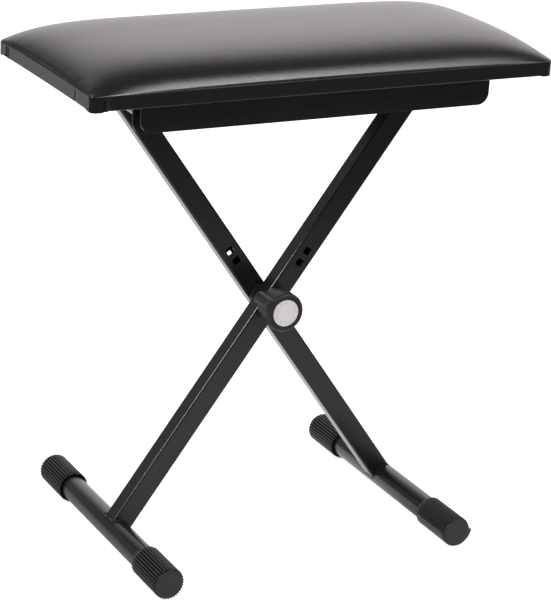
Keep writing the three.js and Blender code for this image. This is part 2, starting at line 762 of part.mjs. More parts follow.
// Lock at the crossing
function lockDisc(side) {
  const face = LEG_INNER_Y - FIT_GAP;
  const tip = DISC_TIP_GAP / 2;
  const root = tip + DISC_TOOTH_HEIGHT;
  const cupEnd = LEG_INNER_Y + CUP_DEPTH;
  const springBore = CUP_RADIUS - CUP_WALL;
  const sides = DISC_TEETH * 2;
  const profile = [
    [springBore, root, 0],
    [springBore, cupEnd - CUP_FLOOR, 0],
    [PIVOT_BORE, cupEnd - CUP_FLOOR, 0],
    [PIVOT_BORE, cupEnd, 0],
    [CUP_RADIUS, cupEnd, 0],
    [CUP_RADIUS, face, 0],
    [DISC_RADIUS, face, 0],
    [DISC_RADIUS, root, 1],
    [DISC_TOOTH_INNER_RADIUS, root, 1],
  ];
  const rings = profile.map(([radius, height, toothed]) =>
    Array.from({ length: sides }, (_, i) => {
      const angle = (Math.PI * i) / DISC_TEETH;
      const y = toothed && i % 2 ? tip : height;
      return new THREE.Vector3(radius * Math.cos(angle), y, radius * Math.sin(angle));
    }),
  );
  return facing(surfaceThrough(rings, true), side);
}

function spacerSleeve(side) {
  const start = LEG_INNER_Y + CUP_DEPTH + FIT_GAP;
  const end = LEG_OUTER_Y - LEG_WALL - FIT_GAP;
  const [low, high] = sorted(side * start, side * end);
  return tubeAlongY(PIVOT_BORE, PIVOT_BORE + SLEEVE_WALL, low, high, SMALL_SIDES);
}

class Helix extends THREE.Curve {
  constructor(radius, start, end, turns) {
    super();
    Object.assign(this, { radius, start, end, turns });
  }

  getPoint(share, target = new THREE.Vector3()) {
    const angle = 2 * Math.PI * this.turns * share;
    const y = this.start + (this.end - this.start) * share;
    return target.set(this.radius * Math.cos(angle), y, this.radius * Math.sin(angle));
  }
}

function discSpring() {
  const reach = LEG_INNER_Y + CUP_DEPTH - CUP_FLOOR - FIT_GAP - SPRING_WIRE_RADIUS;
  const radius = (CUP_RADIUS - CUP_WALL + PIVOT_BOLT_RADIUS) / 2;
  const wire = new THREE.Shape(
    Array.from({ length: SPRING_SIDES }, (_, k) =>
      polar(SPRING_WIRE_RADIUS, (2 * Math.PI * k) / SPRING_SIDES),
    ),
  );
  return new THREE.ExtrudeGeometry(wire, {
    steps: SPRING_CURLS * SPRING_STEPS_PER_CURL,
    bevelEnabled: false,
    extrudePath: new Helix(radius, -reach, reach, SPRING_CURLS),
  });
}

// The pivot bolt: a domed head behind, a square neck in the rear leg's wall, and a round shank
function pivotBolt() {
  const seat = LEG_OUTER_Y + FIT_GAP;
  const tip = -LEG_OUTER_Y - PIVOT_BOLT_REACH;
  const dome = [
    new THREE.Vector2(0, seat),
    new THREE.Vector2(PIVOT_HEAD_RADIUS, seat),
    new THREE.Vector2(PIVOT_HEAD_RADIUS, seat + PIVOT_HEAD_HEIGHT / 3),
    new THREE.Vector2(PIVOT_HEAD_RADIUS - PIVOT_HEAD_HEIGHT / 2, seat + (PIVOT_HEAD_HEIGHT * 5) / 6),
    new THREE.Vector2(0, seat + PIVOT_HEAD_HEIGHT),
  ];
  return join(
    new THREE.LatheGeometry(dome, SMALL_SIDES),
    plateAlongY(squareHole(PIVOT_NECK_SIZE, 0), seat - PIVOT_NECK_LENGTH, seat + PIVOT_HEAD_HEIGHT / 3),
    rodAlongY(PIVOT_BOLT_RADIUS, tip, seat, SMALL_SIDES),
  );
}

// Hand knob, made with its own front face at negative Y
const WASHER_FRONT_Y = -LEG_OUTER_Y - FIT_GAP - KNOB_WASHER_THICKNESS;
const KNOB_BACK_Y = WASHER_FRONT_Y - FIT_GAP;
const KNOB_FRONT_Y = KNOB_BACK_Y - KNOB_LENGTH;
const KNOB_DISC_SEAT_Y = KNOB_FRONT_Y + KNOB_DISC_THICKNESS;

function knobWasher() {
  return tubeAlongY(PIVOT_BORE, KNOB_WASHER_RADIUS, WASHER_FRONT_Y, -LEG_OUTER_Y - FIT_GAP, ROUND_SIDES);
}

function knobBody() {
  const shoulder = KNOB_BACK_Y - KNOB_HUB_LENGTH;
  const recess = KNOB_DISC_RADIUS + FIT_GAP;
  const recessY = KNOB_DISC_SEAT_Y + FIT_GAP;
  const profile = [
    new THREE.Vector2(0, recessY),
    new THREE.Vector2(recess, recessY),
    new THREE.Vector2(recess, KNOB_FRONT_Y),
    new THREE.Vector2(KNOB_RADIUS - KNOB_ROUND, KNOB_FRONT_Y),
    new THREE.Vector2(KNOB_RADIUS, KNOB_FRONT_Y + KNOB_ROUND),
    new THREE.Vector2(KNOB_RADIUS, shoulder - KNOB_ROUND),
    new THREE.Vector2(KNOB_HUB_RADIUS, shoulder),
    new THREE.Vector2(KNOB_HUB_RADIUS, KNOB_BACK_Y),
    new THREE.Vector2(0, KNOB_BACK_Y),
  ];
  const lobe = rodAlongY(KNOB_LOBE_RADIUS, KNOB_FRONT_Y + KNOB_LOBE_SETBACK, KNOB_BACK_Y, SMALL_SIDES);
  const place = polar(KNOB_LOBE_OFFSET, KNOB_LOBE_ANGLE);
  lobe.translate(place.x, 0, place.y);
  const boreEnd = KNOB_BACK_Y - KNOB_BORE_DEPTH;
  const pocketEnd = KNOB_BACK_Y - INSERT_LENGTH - 2 * FIT_GAP;
  const pocketRadius = PIVOT_BORE + INSERT_WALL + FIT_GAP;
  return cut(
    join(new THREE.LatheGeometry(profile, ROUND_SIDES), lobe),
    rodAlongY(PIVOT_BORE, boreEnd, KNOB_BACK_Y + CUT_OVERRUN, SMALL_SIDES),
    hexAlongY(pocketRadius, pocketEnd, KNOB_BACK_Y + CUT_OVERRUN),
  );
}

function knobInsert() {
  const end = KNOB_BACK_Y - FIT_GAP;
  const body = hexAlongY(PIVOT_BORE + INSERT_WALL, end - INSERT_LENGTH, end);
  return cut(body, rodAlongY(PIVOT_BORE, end - INSERT_LENGTH - CUT_OVERRUN, end + CUT_OVERRUN, SMALL_SIDES));
}

function knobDisc() {
  return rodAlongY(KNOB_DISC_RADIUS, KNOB_FRONT_Y, KNOB_DISC_SEAT_Y, ROUND_SIDES);
}

// The assembly. The bolt's square neck turns with the rear leg, so the bolt hangs in that leg's group.
const bench = new THREE.Group();

function add(parent, name, geometry, material) {
  const mesh = new THREE.Mesh(geometry, material);
  mesh.name = name;
  parent.add(mesh);
  return mesh;
}

function groupAt(x, z, turn) {
  const group = new THREE.Group();
  group.position.set(x, 0, z);
  group.rotation.y = turn;
  bench.add(group);
  return group;
}

function addSeat() {
  add(bench, "seat_cover", seatCover(), vinyl());
  add(bench, "seat_foam", seatFoam(), foam());
  add(bench, "seat_board", seatBoard(), plywood());
  add(bench, "bottom_cloth", bottomCloth(), blackCloth());
  add(bench, "front_rail", rail(-1), painted());
  add(bench, "rear_rail", rail(1), painted());
  screwPlaces().forEach(([x, y], i) => {
    const screw = add(bench, "rail_screw_" + (i + 1), railScrew(), steel());
    screw.position.set(x, y, WEB_BOTTOM);
  });
}

const SIDE_NAMES = [
  [-1, "front"],
  [1, "rear"],
];

// The hinged bar's bushes stay in the rails; the sliding bar's bushes travel with it.
function addBarEnds(group, barName) {
  for (const [side, end] of SIDE_NAMES) {
    add(group, barName + "_plug_" + end, endPlug(side), steel());
    add(group, barName + "_bush_" + end, railBush(side), nylon());
    add(group, barName + "_washer_" + end, barWasher(side), steel());
    add(group, barName + "_bolt_" + end, barBolt(side), steel());
  }
}

function legGroup(side) {
  return groupAt(PIVOT_X, PIVOT_Z, -side * (Math.PI / 2 - REST_ANGLE));
}

function addLeg(legName, barName, side) {
  const leg = legGroup(side);
  add(leg, legName + "_tube", legTube(side), painted());
  add(leg, legName + "_foot_weld", weldBead(side, FOOT_RADIUS, -LOWER_ARM, 1), painted());
  add(leg, legName + "_bar_weld", weldBead(side, BAR_RADIUS, UPPER_ARM, -1), painted());
  add(leg, legName + "_lock_disc", lockDisc(side), plastic());
  add(leg, legName + "_sleeve", spacerSleeve(side), steel());
  const bar = groupAt(PIVOT_X - side * UPPER_ARM * Math.cos(REST_ANGLE), HINGE_Z, 0);
  add(bar, barName, crossbar(), painted());
  addBarEnds(bar, barName);
  const foot = groupAt(PIVOT_X + side * FOOT_REACH, CAP_RADIUS, 0);
  add(foot, legName + "_foot_tube", footTube(), painted());
  return foot;
}

function addCrossing() {
  const bolted = legGroup(1);
  add(bolted, "pivot_bolt", pivotBolt(), steel());
  add(bolted, "disc_spring", discSpring(), steel());
  const crossing = groupAt(PIVOT_X, PIVOT_Z, 0);
  add(crossing, "knob_washer", knobWasher(), steel());
  add(crossing, "knob_body", knobBody(), plastic());
  add(crossing, "knob_insert", knobInsert(), brass());
  add(crossing, "knob_disc", knobDisc(), greyPlastic());
}

addSeat();
const leftFoot = addLeg("front_leg", "hinge_bar", -1);
const rightFoot = addLeg("rear_leg", "slide_bar", 1);
add(leftFoot, "foot_cap_left_front", ribbedCap(-1), rubber());
add(leftFoot, "foot_cap_left_rear", ribbedCap(1), rubber());
add(rightFoot, "levelling_cap", levellingCap(-1), rubber());
add(rightFoot, "foot_cap_right_rear", ribbedCap(1), rubber());
addCrossing();

export default bench;
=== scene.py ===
import json
import logging
import math
from dataclasses import dataclass, field
from enum import Enum

import bmesh
import bpy
import numpy as np
from mathutils import Matrix, Vector


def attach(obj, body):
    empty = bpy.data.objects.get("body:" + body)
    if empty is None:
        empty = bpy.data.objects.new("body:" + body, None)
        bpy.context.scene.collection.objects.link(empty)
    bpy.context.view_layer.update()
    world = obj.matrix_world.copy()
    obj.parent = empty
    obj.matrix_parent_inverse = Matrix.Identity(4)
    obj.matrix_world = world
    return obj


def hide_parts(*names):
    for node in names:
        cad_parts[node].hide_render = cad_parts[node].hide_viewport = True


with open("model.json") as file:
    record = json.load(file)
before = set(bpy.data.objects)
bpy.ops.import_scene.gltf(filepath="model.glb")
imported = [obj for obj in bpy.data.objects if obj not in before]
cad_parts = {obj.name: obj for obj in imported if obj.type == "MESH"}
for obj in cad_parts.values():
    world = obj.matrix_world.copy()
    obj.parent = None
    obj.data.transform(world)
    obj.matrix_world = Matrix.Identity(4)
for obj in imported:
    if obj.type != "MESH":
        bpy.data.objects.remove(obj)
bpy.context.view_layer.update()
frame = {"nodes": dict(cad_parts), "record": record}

MM = 0.001
TINY = 1e-9
MERGE_DISTANCE = 2e-6
QUARTER_TURN = math.pi / 2
FULL_TURN = 2 * math.pi
NOISE_ROUGHNESS = 0.55
# A Mix node's two inputs and its output by number, for vectors and for colours.
MIX_VECTORS = (4, 5, 1)
MIX_COLOURS = (6, 7, 2)
# The corners of a rectangle, in the order in which the outlines go round.
CORNER_SIGNS = np.array([[1, 1], [-1, 1], [-1, -1], [1, -1]])
Array = np.ndarray
Tree = bpy.types.NodeTree
Socket = bpy.types.NodeSocket
Piece = bpy.types.Object
Colour = tuple[float, float, float]
log = logging.getLogger("bench")


class Body(Enum):
    """The bodies that the pieces ride on."""

    SEAT = "seat"
    FRONT_LEG = "front_leg"
    REAR_LEG = "rear_leg"
    KNOB_WASHER = "knob_washer"
    KNOB = "knob"
    LEVELLING_CAP = "levelling_cap"


class Relief(Enum):
    """The fine surface that a finish carries."""

    PEEL = "orange peel of powder coat"
    GRAIN = "leather grain of vinyl"
    FIBRE = "felted fibres of cloth"
    TURNED = "fine marks of turning and brushing"
    MOULDED = "spark-eroded mould texture"


# Mesh building


def cells_of(rows: int, cols: int, wrap_rows: bool = False, wrap_cols: bool = False) -> Array:
    """Corner numbers of every cell of a grid of points stored row by row.

    Args:
        rows: Points down the grid.
        cols: Points across the grid.
        wrap_rows: Whether the last row joins the first.
        wrap_cols: Whether the last column joins the first.

    Returns:
        One row of four corner numbers for each cell.
    """
    r = np.arange(rows if wrap_rows else rows - 1)
    c = np.arange(cols if wrap_cols else cols - 1)
    a, b = (grid.ravel() for grid in np.meshgrid(r, c, indexing="ij"))
    a2, b2 = (a + 1) % rows, (b + 1) % cols
    return np.stack([a * cols + b, a * cols + b2, a2 * cols + b2, a2 * cols + b], axis=1)


def mesh_piece(name: str, points: Array, cells: Array, crease_deg: float = 40.0) -> Piece:
    """Makes an object from points in millimetres, with its doubles merged and its faces turned outwards.

    Args:
        name: The object's name.
        points: Any grid of points; its last axis holds X, Y and Z.
        cells: Four corner numbers for each face.
        crease_deg: Edges that bend more than this stay sharp.

    Returns:
        The linked object, at the origin.
    """
    mesh = bpy.data.meshes.new(name)
    mesh.from_pydata((points.reshape(-1, 3) * MM).tolist(), [], cells.tolist())
    build = bmesh.new()
    build.from_mesh(mesh)
    bmesh.ops.remove_doubles(build, verts=build.verts, dist=MERGE_DISTANCE)
    bmesh.ops.recalc_face_normals(build, faces=build.faces)
    build.to_mesh(mesh)
    build.free()
    mesh.shade_smooth()
    mesh.set_sharp_from_angle(angle=math.radians(crease_deg))
    piece = bpy.data.objects.new(name, mesh)
    bpy.context.scene.collection.objects.link(piece)
    return piece


def eased(outline: Array, ease: float, closed: bool, steps: int = 4) -> Array:
    """Rounds the corners of an outline.

    Each corner B becomes the curve (1-t)^2 A + 2t(1-t) B + t^2 C, where A and C lie on its two sides
    at the ease distance, or at 0.45 of the side where that is shorter.

    Args:
        outline: Corner points, one row each.
        ease: Distance from a corner to where its curve starts.
        closed: Whether the last point joins the first; otherwise both ends are kept.
        steps: Pieces in each corner's curve.

    Returns:
        The rounded outline's points.
    """
    longest = 0.45
    before, after = np.roll(outline, 1, axis=0) - outline, np.roll(outline, -1, axis=0) - outline
    long_before = np.linalg.norm(before, axis=1, keepdims=True) + TINY
    long_after = np.linalg.norm(after, axis=1, keepdims=True) + TINY
    start = outline + before * np.minimum(ease / long_before, longest)
    end = outline + after * np.minimum(ease / long_after, longest)
    t = np.linspace(0.0, 1.0, steps + 1)[None, :, None]
    curve = (1 - t) ** 2 * start[:, None] + 2 * t * (1 - t) * outline[:, None] + t**2 * end[:, None]
    if closed:
        return curve.reshape(-1, outline.shape[1])
    middle = curve[1:-1].reshape(-1, outline.shape[1])
    return np.vstack([outline[:1], middle, outline[-1:]])


def turned_grid(profile: Array, sides: int) -> Array:
    """A profile turned about Y: x = r cos a, y = y, z = r sin a, for each profile point (r, y).

    Args:
        profile: Radius and Y of each point.
        sides: Points round the axis.

    Returns:
        Points with one row for each profile point.
    """
    angle = np.linspace(0.0, FULL_TURN, sides, endpoint=False)
    radius, along = profile[:, :1], profile[:, 1:]
    return np.stack([radius * np.cos(angle), along + 0 * angle, radius * np.sin(angle)], axis=-1)


def smooth_step(value: Array) -> Array:
    """The value held to 0..1 and eased as 3t^2 - 2t^3."""
    t = np.clip(value, 0.0, 1.0)
    return t * t * (3 - 2 * t)


def lifted(plane: Array, height: Array) -> Array:
    """Points in X and Y with a height each, as points in space."""
    return np.concatenate([plane, height[..., None]], axis=-1)


def two_skin_shell(name: str, outer: Array, inner: Array, keep: Array, wrap_cols: bool) -> Piece:
    """A wall between two grids of points, open where cells are left out, closed at every border.

    Each kept cell gives a face on both skins, and each grid edge with a kept cell on one side only
    gives a face that joins the skins.

    Args:
        name: The object's name.
        outer: Points of the outer skin, rows by columns by 3.
        inner: Points of the inner skin, in the same order.
        keep: True for each cell that has material.
        wrap_cols: Whether the last column joins the first.

    Returns:
        The linked object.
    """
    rows, cols = outer.shape[:2]
    number = np.arange(rows * cols).reshape(rows, cols)
    near = cells_of(rows, cols, wrap_cols=wrap_cols)[keep.ravel()]
    far = near[:, ::-1] + rows * cols
    side = np.zeros((1, keep.shape[1]), bool)
    above, below = np.vstack([keep, side]), np.vstack([side, keep])
    r, c = np.nonzero(above != below)
    along_row = np.stack([number[r, c], number[r, (c + 1) % cols]], axis=1)
    if wrap_cols:
        left, right = np.roll(keep, 1, axis=1), keep
    else:
        end = np.zeros((keep.shape[0], 1), bool)
        left, right = np.hstack([end, keep]), np.hstack([keep, end])
    r, c = np.nonzero(left != right)
    along_col = np.stack([number[r, c], number[r + 1, c]], axis=1)
    edge = np.vstack([along_row, along_col])
    rim = np.hstack([edge, edge[:, ::-1] + rows * cols])
    points = np.vstack([outer.reshape(-1, 3), inner.reshape(-1, 3)])
    return mesh_piece(name, points, np.vstack([near, far, rim]), crease_deg=30.0)


def rounded_hole(flat: Array, centre: tuple[float, float], radius: float, reach: float) -> Array:
    """Bends a square grid so that the square of half-side radius about centre becomes a circle.

    A point at offset d keeps its direction. Its length |d| is drawn towards max(|dx|, |dy|), wholly
    up to radius and fading to nothing at reach.

    Args:
        flat: Points in the plane, last axis 2.
        centre: Middle of the hole.
        radius: Half-side of the square and radius of the circle.
        reach: Half-side beyond which nothing moves.

    Returns:
        The moved points.
    """
    offset = flat - np.array(centre)
    square = np.abs(offset).max(axis=-1, keepdims=True)
    length = np.linalg.norm(offset, axis=-1, keepdims=True) + TINY
    fade = 1 - np.clip((square - radius) / max(reach - radius, TINY), 0.0, 1.0)
    return np.array(centre) + offset * (1 + (square / length - 1) * fade)


# Node groups that several finishes share


def new_group(
    name: str, inputs: dict[str, float], output: str
) -> tuple[Tree, bpy.types.Node, bpy.types.Node]:
    """Makes a node group with a Vector input, number inputs and one number output.

    Args:
        name: The group's name.
        inputs: Default of each number input.
        output: Name of the output.

    Returns:
        The group, its input node and its output node.
    """
    tree = bpy.data.node_groups.new(name, "ShaderNodeTree")
    tree.interface.new_socket("Vector", in_out="INPUT", socket_type="NodeSocketVector")
    for label, value in inputs.items():
        socket = tree.interface.new_socket(label, in_out="INPUT", socket_type="NodeSocketFloat")
        socket.default_value = value
    tree.interface.new_socket(output, in_out="OUTPUT", socket_type="NodeSocketFloat")
    return tree, tree.nodes.new("NodeGroupInput"), tree.nodes.new("NodeGroupOutput")


def math_node(tree: Tree, operation: str, first: object, second: object) -> Socket:
    """Adds a Math node.

    Args:
        tree: The node tree.
        operation: What the node does.
        first: A socket or a number.
        second: A socket or a number.

    Returns:
        The node's output.
    """
    node = tree.nodes.new("ShaderNodeMath")
    node.operation = operation
    for socket, value in zip(node.inputs, (first, second)):
        if isinstance(value, Socket):
            tree.links.new(value, socket)
        else:
            socket.default_value = value
    return node.outputs[0]


def noise_node(tree: Tree, vector: Socket, scale: Socket, detail: float) -> Socket:
    """Adds a Noise node.

    Args:
        tree: The node tree.
        vector: Where the noise is read.
        scale: How close its patches lie.
        detail: How many finer layers it has.

    Returns:
        The noise's value.
    """
    node = tree.nodes.new("ShaderNodeTexNoise")
    node.inputs["Detail"].default_value = detail
    node.inputs["Roughness"].default_value = NOISE_ROUGHNESS
    tree.links.new(vector, node.inputs["Vector"])
    tree.links.new(scale, node.inputs["Scale"])
    return node.outputs["Fac"]


def cloud_group() -> Tree:
    """Slow uneven patches: a coarse noise with a little of a fine one, spread by Contrast about 0.5.

    Returns:
        The node group.
    """
    finer, coarse_share, middle = 9.0, 0.75, 0.5
    tree, start, end = new_group("uneven_patches", {"Scale": 20.0, "Contrast": 1.5}, "Value")
    vector, scale = start.outputs["Vector"], start.outputs["Scale"]
    coarse = math_node(tree, "MULTIPLY", noise_node(tree, vector, scale, 3.0), coarse_share)
    fine = noise_node(tree, vector, math_node(tree, "MULTIPLY", scale, finer), 2.0)
    both = math_node(tree, "ADD", coarse, math_node(tree, "MULTIPLY", fine, 1 - coarse_share))
    away = math_node(tree, "SUBTRACT", both, middle)
    spread = math_node(tree, "MULTIPLY", away, start.outputs["Contrast"])
    held = tree.nodes.new("ShaderNodeClamp")
    tree.links.new(math_node(tree, "ADD", spread, middle), held.inputs["Value"])
    tree.links.new(held.outputs[0], end.inputs["Value"])
    return tree


def speck_group() -> Tree:
    """Sparse small specks, as of dust: 1 near the middle of scattered cells, 0 elsewhere.

    Returns:
        The node group.
    """
    speck_radius = 0.17
    tree, start, end = new_group("sparse_specks", {"Scale": 300.0, "Amount": 0.1}, "Value")
    cell = tree.nodes.new("ShaderNodeTexVoronoi")
    tree.links.new(start.outputs["Vector"], cell.inputs["Vector"])
    tree.links.new(start.outputs["Scale"], cell.inputs["Scale"])
    near = math_node(tree, "LESS_THAN", cell.outputs["Distance"], speck_radius)
    chosen = math_node(tree, "LESS_THAN", cell.outputs["Color"], start.outputs["Amount"])
    tree.links.new(math_node(tree, "MULTIPLY", near, chosen), end.inputs["Value"])
    return tree


def grain_group() -> Tree:
    """Leather grain: rounded cells parted by fine creases, their edges shifted by noise, over small pores.

    Returns:
        The node group.
    """
    shift_share, pore_scale, pore_depth = 0.0003, 2.3, 0.35
    tree, start, end = new_group("pressed_grain", {"Scale": 700.0, "Softness": 0.35}, "Height")
    vector, scale = start.outputs["Vector"], start.outputs["Scale"]
    cell = tree.nodes.new("ShaderNodeTexVoronoi")
    cell.feature = "DISTANCE_TO_EDGE"
    shift = tree.nodes.new("ShaderNodeTexNoise")
    tree.links.new(vector, shift.inputs["Vector"])
    tree.links.new(scale, shift.inputs["Scale"])
    mixed = tree.nodes.new("ShaderNodeMix")
    mixed.data_type = "VECTOR"
    mixed.inputs["Factor"].default_value = shift_share
    plain, moved, result = MIX_VECTORS
    tree.links.new(vector, mixed.inputs[plain])
    tree.links.new(shift.outputs["Color"], mixed.inputs[moved])
    tree.links.new(mixed.outputs[result], cell.inputs["Vector"])
    tree.links.new(scale, cell.inputs["Scale"])
    crease = tree.nodes.new("ShaderNodeMapRange")
    crease.interpolation_type = "SMOOTHSTEP"
    tree.links.new(cell.outputs["Distance"], crease.inputs["Value"])
    tree.links.new(start.outputs["Softness"], crease.inputs["From Max"])
    pores = noise_node(tree, vector, math_node(tree, "MULTIPLY", scale, pore_scale), 2.0)
    height = math_node(tree, "ADD", crease.outputs[0], math_node(tree, "MULTIPLY", pores, pore_depth))
    tree.links.new(height, end.inputs["Height"])
    return tree


def peel_group() -> Tree:
    """Rolling skin of sprayed or moulded surfaces: a broad noise with a share of a finer one.

    Returns:
        The node group.
    """
    finer = 3.1
    tree, start, end = new_group("rolling_skin", {"Scale": 400.0, "Fine Share": 0.4}, "Height")
    vector, scale = start.outputs["Vector"], start.outputs["Scale"]
    broad = noise_node(tree, vector, scale, 1.0)
    fine = noise_node(tree, vector, math_node(tree, "MULTIPLY", scale, finer), 2.0)
    height = math_node(tree, "ADD", broad, math_node(tree, "MULTIPLY", fine, start.outputs["Fine Share"]))
    tree.links.new(height, end.inputs["Height"])
    return tree


def streak_group() -> Tree:
    """Marks of turning: noise drawn out along X and Z and tight along Y, so rings run round the Y axis.

    Returns:
        The node group.
    """
    tree, start, end = new_group("turning_marks", {"Scale": 900.0, "Stretch": 0.05}, "Height")
    stretch = tree.nodes.new("ShaderNodeVectorMath")
    stretch.operation = "MULTIPLY"
    combine = tree.nodes.new("ShaderNodeCombineXYZ")
    combine.inputs["Y"].default_value = 1.0
    tree.links.new(start.outputs["Stretch"], combine.inputs["X"])
    tree.links.new(start.outputs["Stretch"], combine.inputs["Z"])
    tree.links.new(start.outputs["Vector"], stretch.inputs[0])
    tree.links.new(combine.outputs[0], stretch.inputs[1])
    marks = noise_node(tree, stretch.outputs[0], start.outputs["Scale"], 3.0)
    tree.links.new(marks, end.inputs["Height"])
    return tree


@dataclass
class SharedEffects:
    """The node groups, made once and placed in each material with its own values."""

    clouds: Tree = field(default_factory=cloud_group)
    specks: Tree = field(default_factory=speck_group)
    grain: Tree = field(default_factory=grain_group)
    peel: Tree = field(default_factory=peel_group)
    streaks: Tree = field(default_factory=streak_group)

    def relief(self, kind: Relief) -> Tree:
        """The group that makes this kind of relief."""
        return {Relief.GRAIN: self.grain, Relief.TURNED: self.streaks}.get(kind, self.peel)


@dataclass(frozen=True)
class Finish:
    """A finish: two colours that patches mix, a range of roughness, dust and a fine relief.

    Lengths are metres, colours linear.
    """

    slot: str
    colour: Colour
    patch_colour: Colour
    rough: tuple[float, float]
    relief: Relief
    relief_scale: float
    relief_depth: float
    patch_scale: float
    patch_contrast: float = 2.2
    dust_colour: Colour = (0.12, 0.115, 0.11)
    dust_amount: float = 0.0
    dust_scale: float = 420.0
    metallic: float = 0.0
    sheen: float = 0.0

    def build(self, effects: SharedEffects) -> bpy.types.Material:
        """Makes the material: patches mix the colours and the roughness, specks add dust, relief bumps it.

        Args:
            effects: The shared node groups.

        Returns:
            The material.
        """
        material = bpy.data.materials.new(self.slot)
        material.use_nodes = True
        tree = material.node_tree
        shader = tree.nodes["Principled BSDF"]
        place = tree.nodes.new("ShaderNodeTexCoord").outputs["Object"]
        spots = {"Scale": self.patch_scale, "Contrast": self.patch_contrast}
        patches = self.effect(tree, effects.clouds, place, spots)
        mixed = self.mix(tree, patches, self.colour, self.patch_colour)
        if self.dust_amount > 0:
            dust = {"Scale": self.dust_scale, "Amount": self.dust_amount}
            specks = self.effect(tree, effects.specks, place, dust)
            mixed = self.mix(tree, specks, mixed, self.dust_colour)
        tree.links.new(mixed, shader.inputs["Base Color"])
        spread = tree.nodes.new("ShaderNodeMapRange")
        spread.inputs["To Min"].default_value, spread.inputs["To Max"].default_value = self.rough
        tree.links.new(patches, spread.inputs["Value"])
        tree.links.new(spread.outputs[0], shader.inputs["Roughness"])
        height = self.effect(tree, effects.relief(self.relief), place, {"Scale": self.relief_scale})
        bump = tree.nodes.new("ShaderNodeBump")
        bump.inputs["Distance"].default_value = self.relief_depth
        tree.links.new(height, bump.inputs["Height"])
        tree.links.new(bump.outputs[0], shader.inputs["Normal"])
        shader.inputs["Metallic"].default_value = self.metallic
        shader.inputs["Sheen Weight"].default_value = self.sheen
        return material

    @staticmethod
    def effect(tree: Tree, group: Tree, place: Socket, values: dict[str, float]) -> Socket:
        """Places a shared group on the coordinates.

        Args:
            tree: The material's node tree.
            group: The group.
            place: The coordinates.
            values: The group's numbers here.

        Returns:
            The group's output.
        """
        node = tree.nodes.new("ShaderNodeGroup")
        node.node_tree = group
        tree.links.new(place, node.inputs["Vector"])
        for label, value in values.items():
            node.inputs[label].default_value = value
        return node.outputs[0]

    @staticmethod
    def mix(tree: Tree, factor: Socket, first: object, second: Colour) -> Socket:
        """Mixes two colours by a factor.

        Args:
            tree: The material's node tree.
            factor: 0 for the first colour, 1 for the second.
            first: A socket or a colour.
            second: A colour.

        Returns:
            The mixed colour.
        """
        node = tree.nodes.new("ShaderNodeMix")
        node.data_type = "RGBA"
        near, far, result = MIX_COLOURS
        tree.links.new(factor, node.inputs["Factor"])
        if isinstance(first, Socket):
            tree.links.new(first, node.inputs[near])
        else:
            node.inputs[near].default_value = (*first, 1.0)
        node.inputs[far].default_value = (*second, 1.0)
        return node.outputs[result]


FINISHES: dict[str, Finish] = {
    finish.slot: finish
    for finish in (
        Finish(
            "seat_vinyl", (0.0062, 0.0059, 0.0056), (0.0082, 0.0078, 0.0074), rough=(0.22, 0.25),
            relief=Relief.GRAIN, relief_scale=1100.0, relief_depth=0.000032, patch_scale=9.0,
            dust_amount=0.02, dust_scale=900.0,
        ),
        Finish(
            "black_paint", (0.0058, 0.0055, 0.005), (0.008, 0.0075, 0.007), rough=(0.25, 0.3),
            relief=Relief.PEEL, relief_scale=700.0, relief_depth=0.00003, patch_scale=26.0,
            dust_amount=0.03,
        ),
        Finish(
            "foot_rubber", (0.007, 0.0067, 0.0062), (0.0095, 0.009, 0.0084), rough=(0.3, 0.35),
            relief=Relief.MOULDED, relief_scale=900.0, relief_depth=0.000015, patch_scale=60.0,
            dust_amount=0.03,
        ),
        Finish(
            "knob_plastic", (0.006, 0.0057, 0.0053), (0.0085, 0.0081, 0.0076), rough=(0.5, 0.56),
            relief=Relief.MOULDED, relief_scale=1600.0, relief_depth=0.00003, patch_scale=50.0,
            dust_amount=0.05, dust_scale=800.0,
        ),
        Finish(
            "lock_plastic", (0.006, 0.0057, 0.0053), (0.009, 0.0086, 0.008), rough=(0.4, 0.5),
            relief=Relief.MOULDED, relief_scale=1600.0, relief_depth=0.00003, patch_scale=50.0,
        ),
        Finish(
            "grey_plastic", (0.57, 0.55, 0.545), (0.54, 0.52, 0.515), rough=(0.36, 0.46),
            relief=Relief.MOULDED, relief_scale=1500.0, relief_depth=0.00003, patch_scale=90.0,
            dust_colour=(0.36, 0.34, 0.33), dust_amount=0.05, dust_scale=900.0,
        ),
        Finish(
            "zinc_steel", (0.62, 0.63, 0.64), (0.5, 0.51, 0.54), rough=(0.25, 0.38),
            relief=Relief.TURNED, relief_scale=1800.0, relief_depth=0.00002, patch_scale=80.0, metallic=1.0,
        ),
        Finish(
            "brass", (0.62, 0.43, 0.17), (0.52, 0.35, 0.13), rough=(0.25, 0.35),
            relief=Relief.TURNED, relief_scale=1800.0, relief_depth=0.00002, patch_scale=80.0, metallic=1.0,
        ),
        Finish(
            "nylon", (0.62, 0.6, 0.55), (0.54, 0.52, 0.47), rough=(0.4, 0.5),
            relief=Relief.MOULDED, relief_scale=1500.0, relief_depth=0.00003, patch_scale=80.0,
        ),
        Finish(
            "bottom_cloth", (0.013, 0.013, 0.0135), (0.024, 0.0235, 0.024), rough=(0.85, 0.95),
            relief=Relief.FIBRE, relief_scale=1700.0, relief_depth=0.00018, patch_scale=60.0,
            dust_amount=0.2, sheen=0.25,
        ),
        Finish(
            "seat_board", (0.42, 0.27, 0.14), (0.3, 0.18, 0.085), rough=(0.6, 0.75),
            relief=Relief.PEEL, relief_scale=500.0, relief_depth=0.0001, patch_scale=14.0,
        ),
        Finish(
            "seat_foam", (0.7, 0.62, 0.38), (0.6, 0.52, 0.3), rough=(0.9, 1.0),
            relief=Relief.FIBRE, relief_scale=900.0, relief_depth=0.0004, patch_scale=30.0,
        ),
    )
}


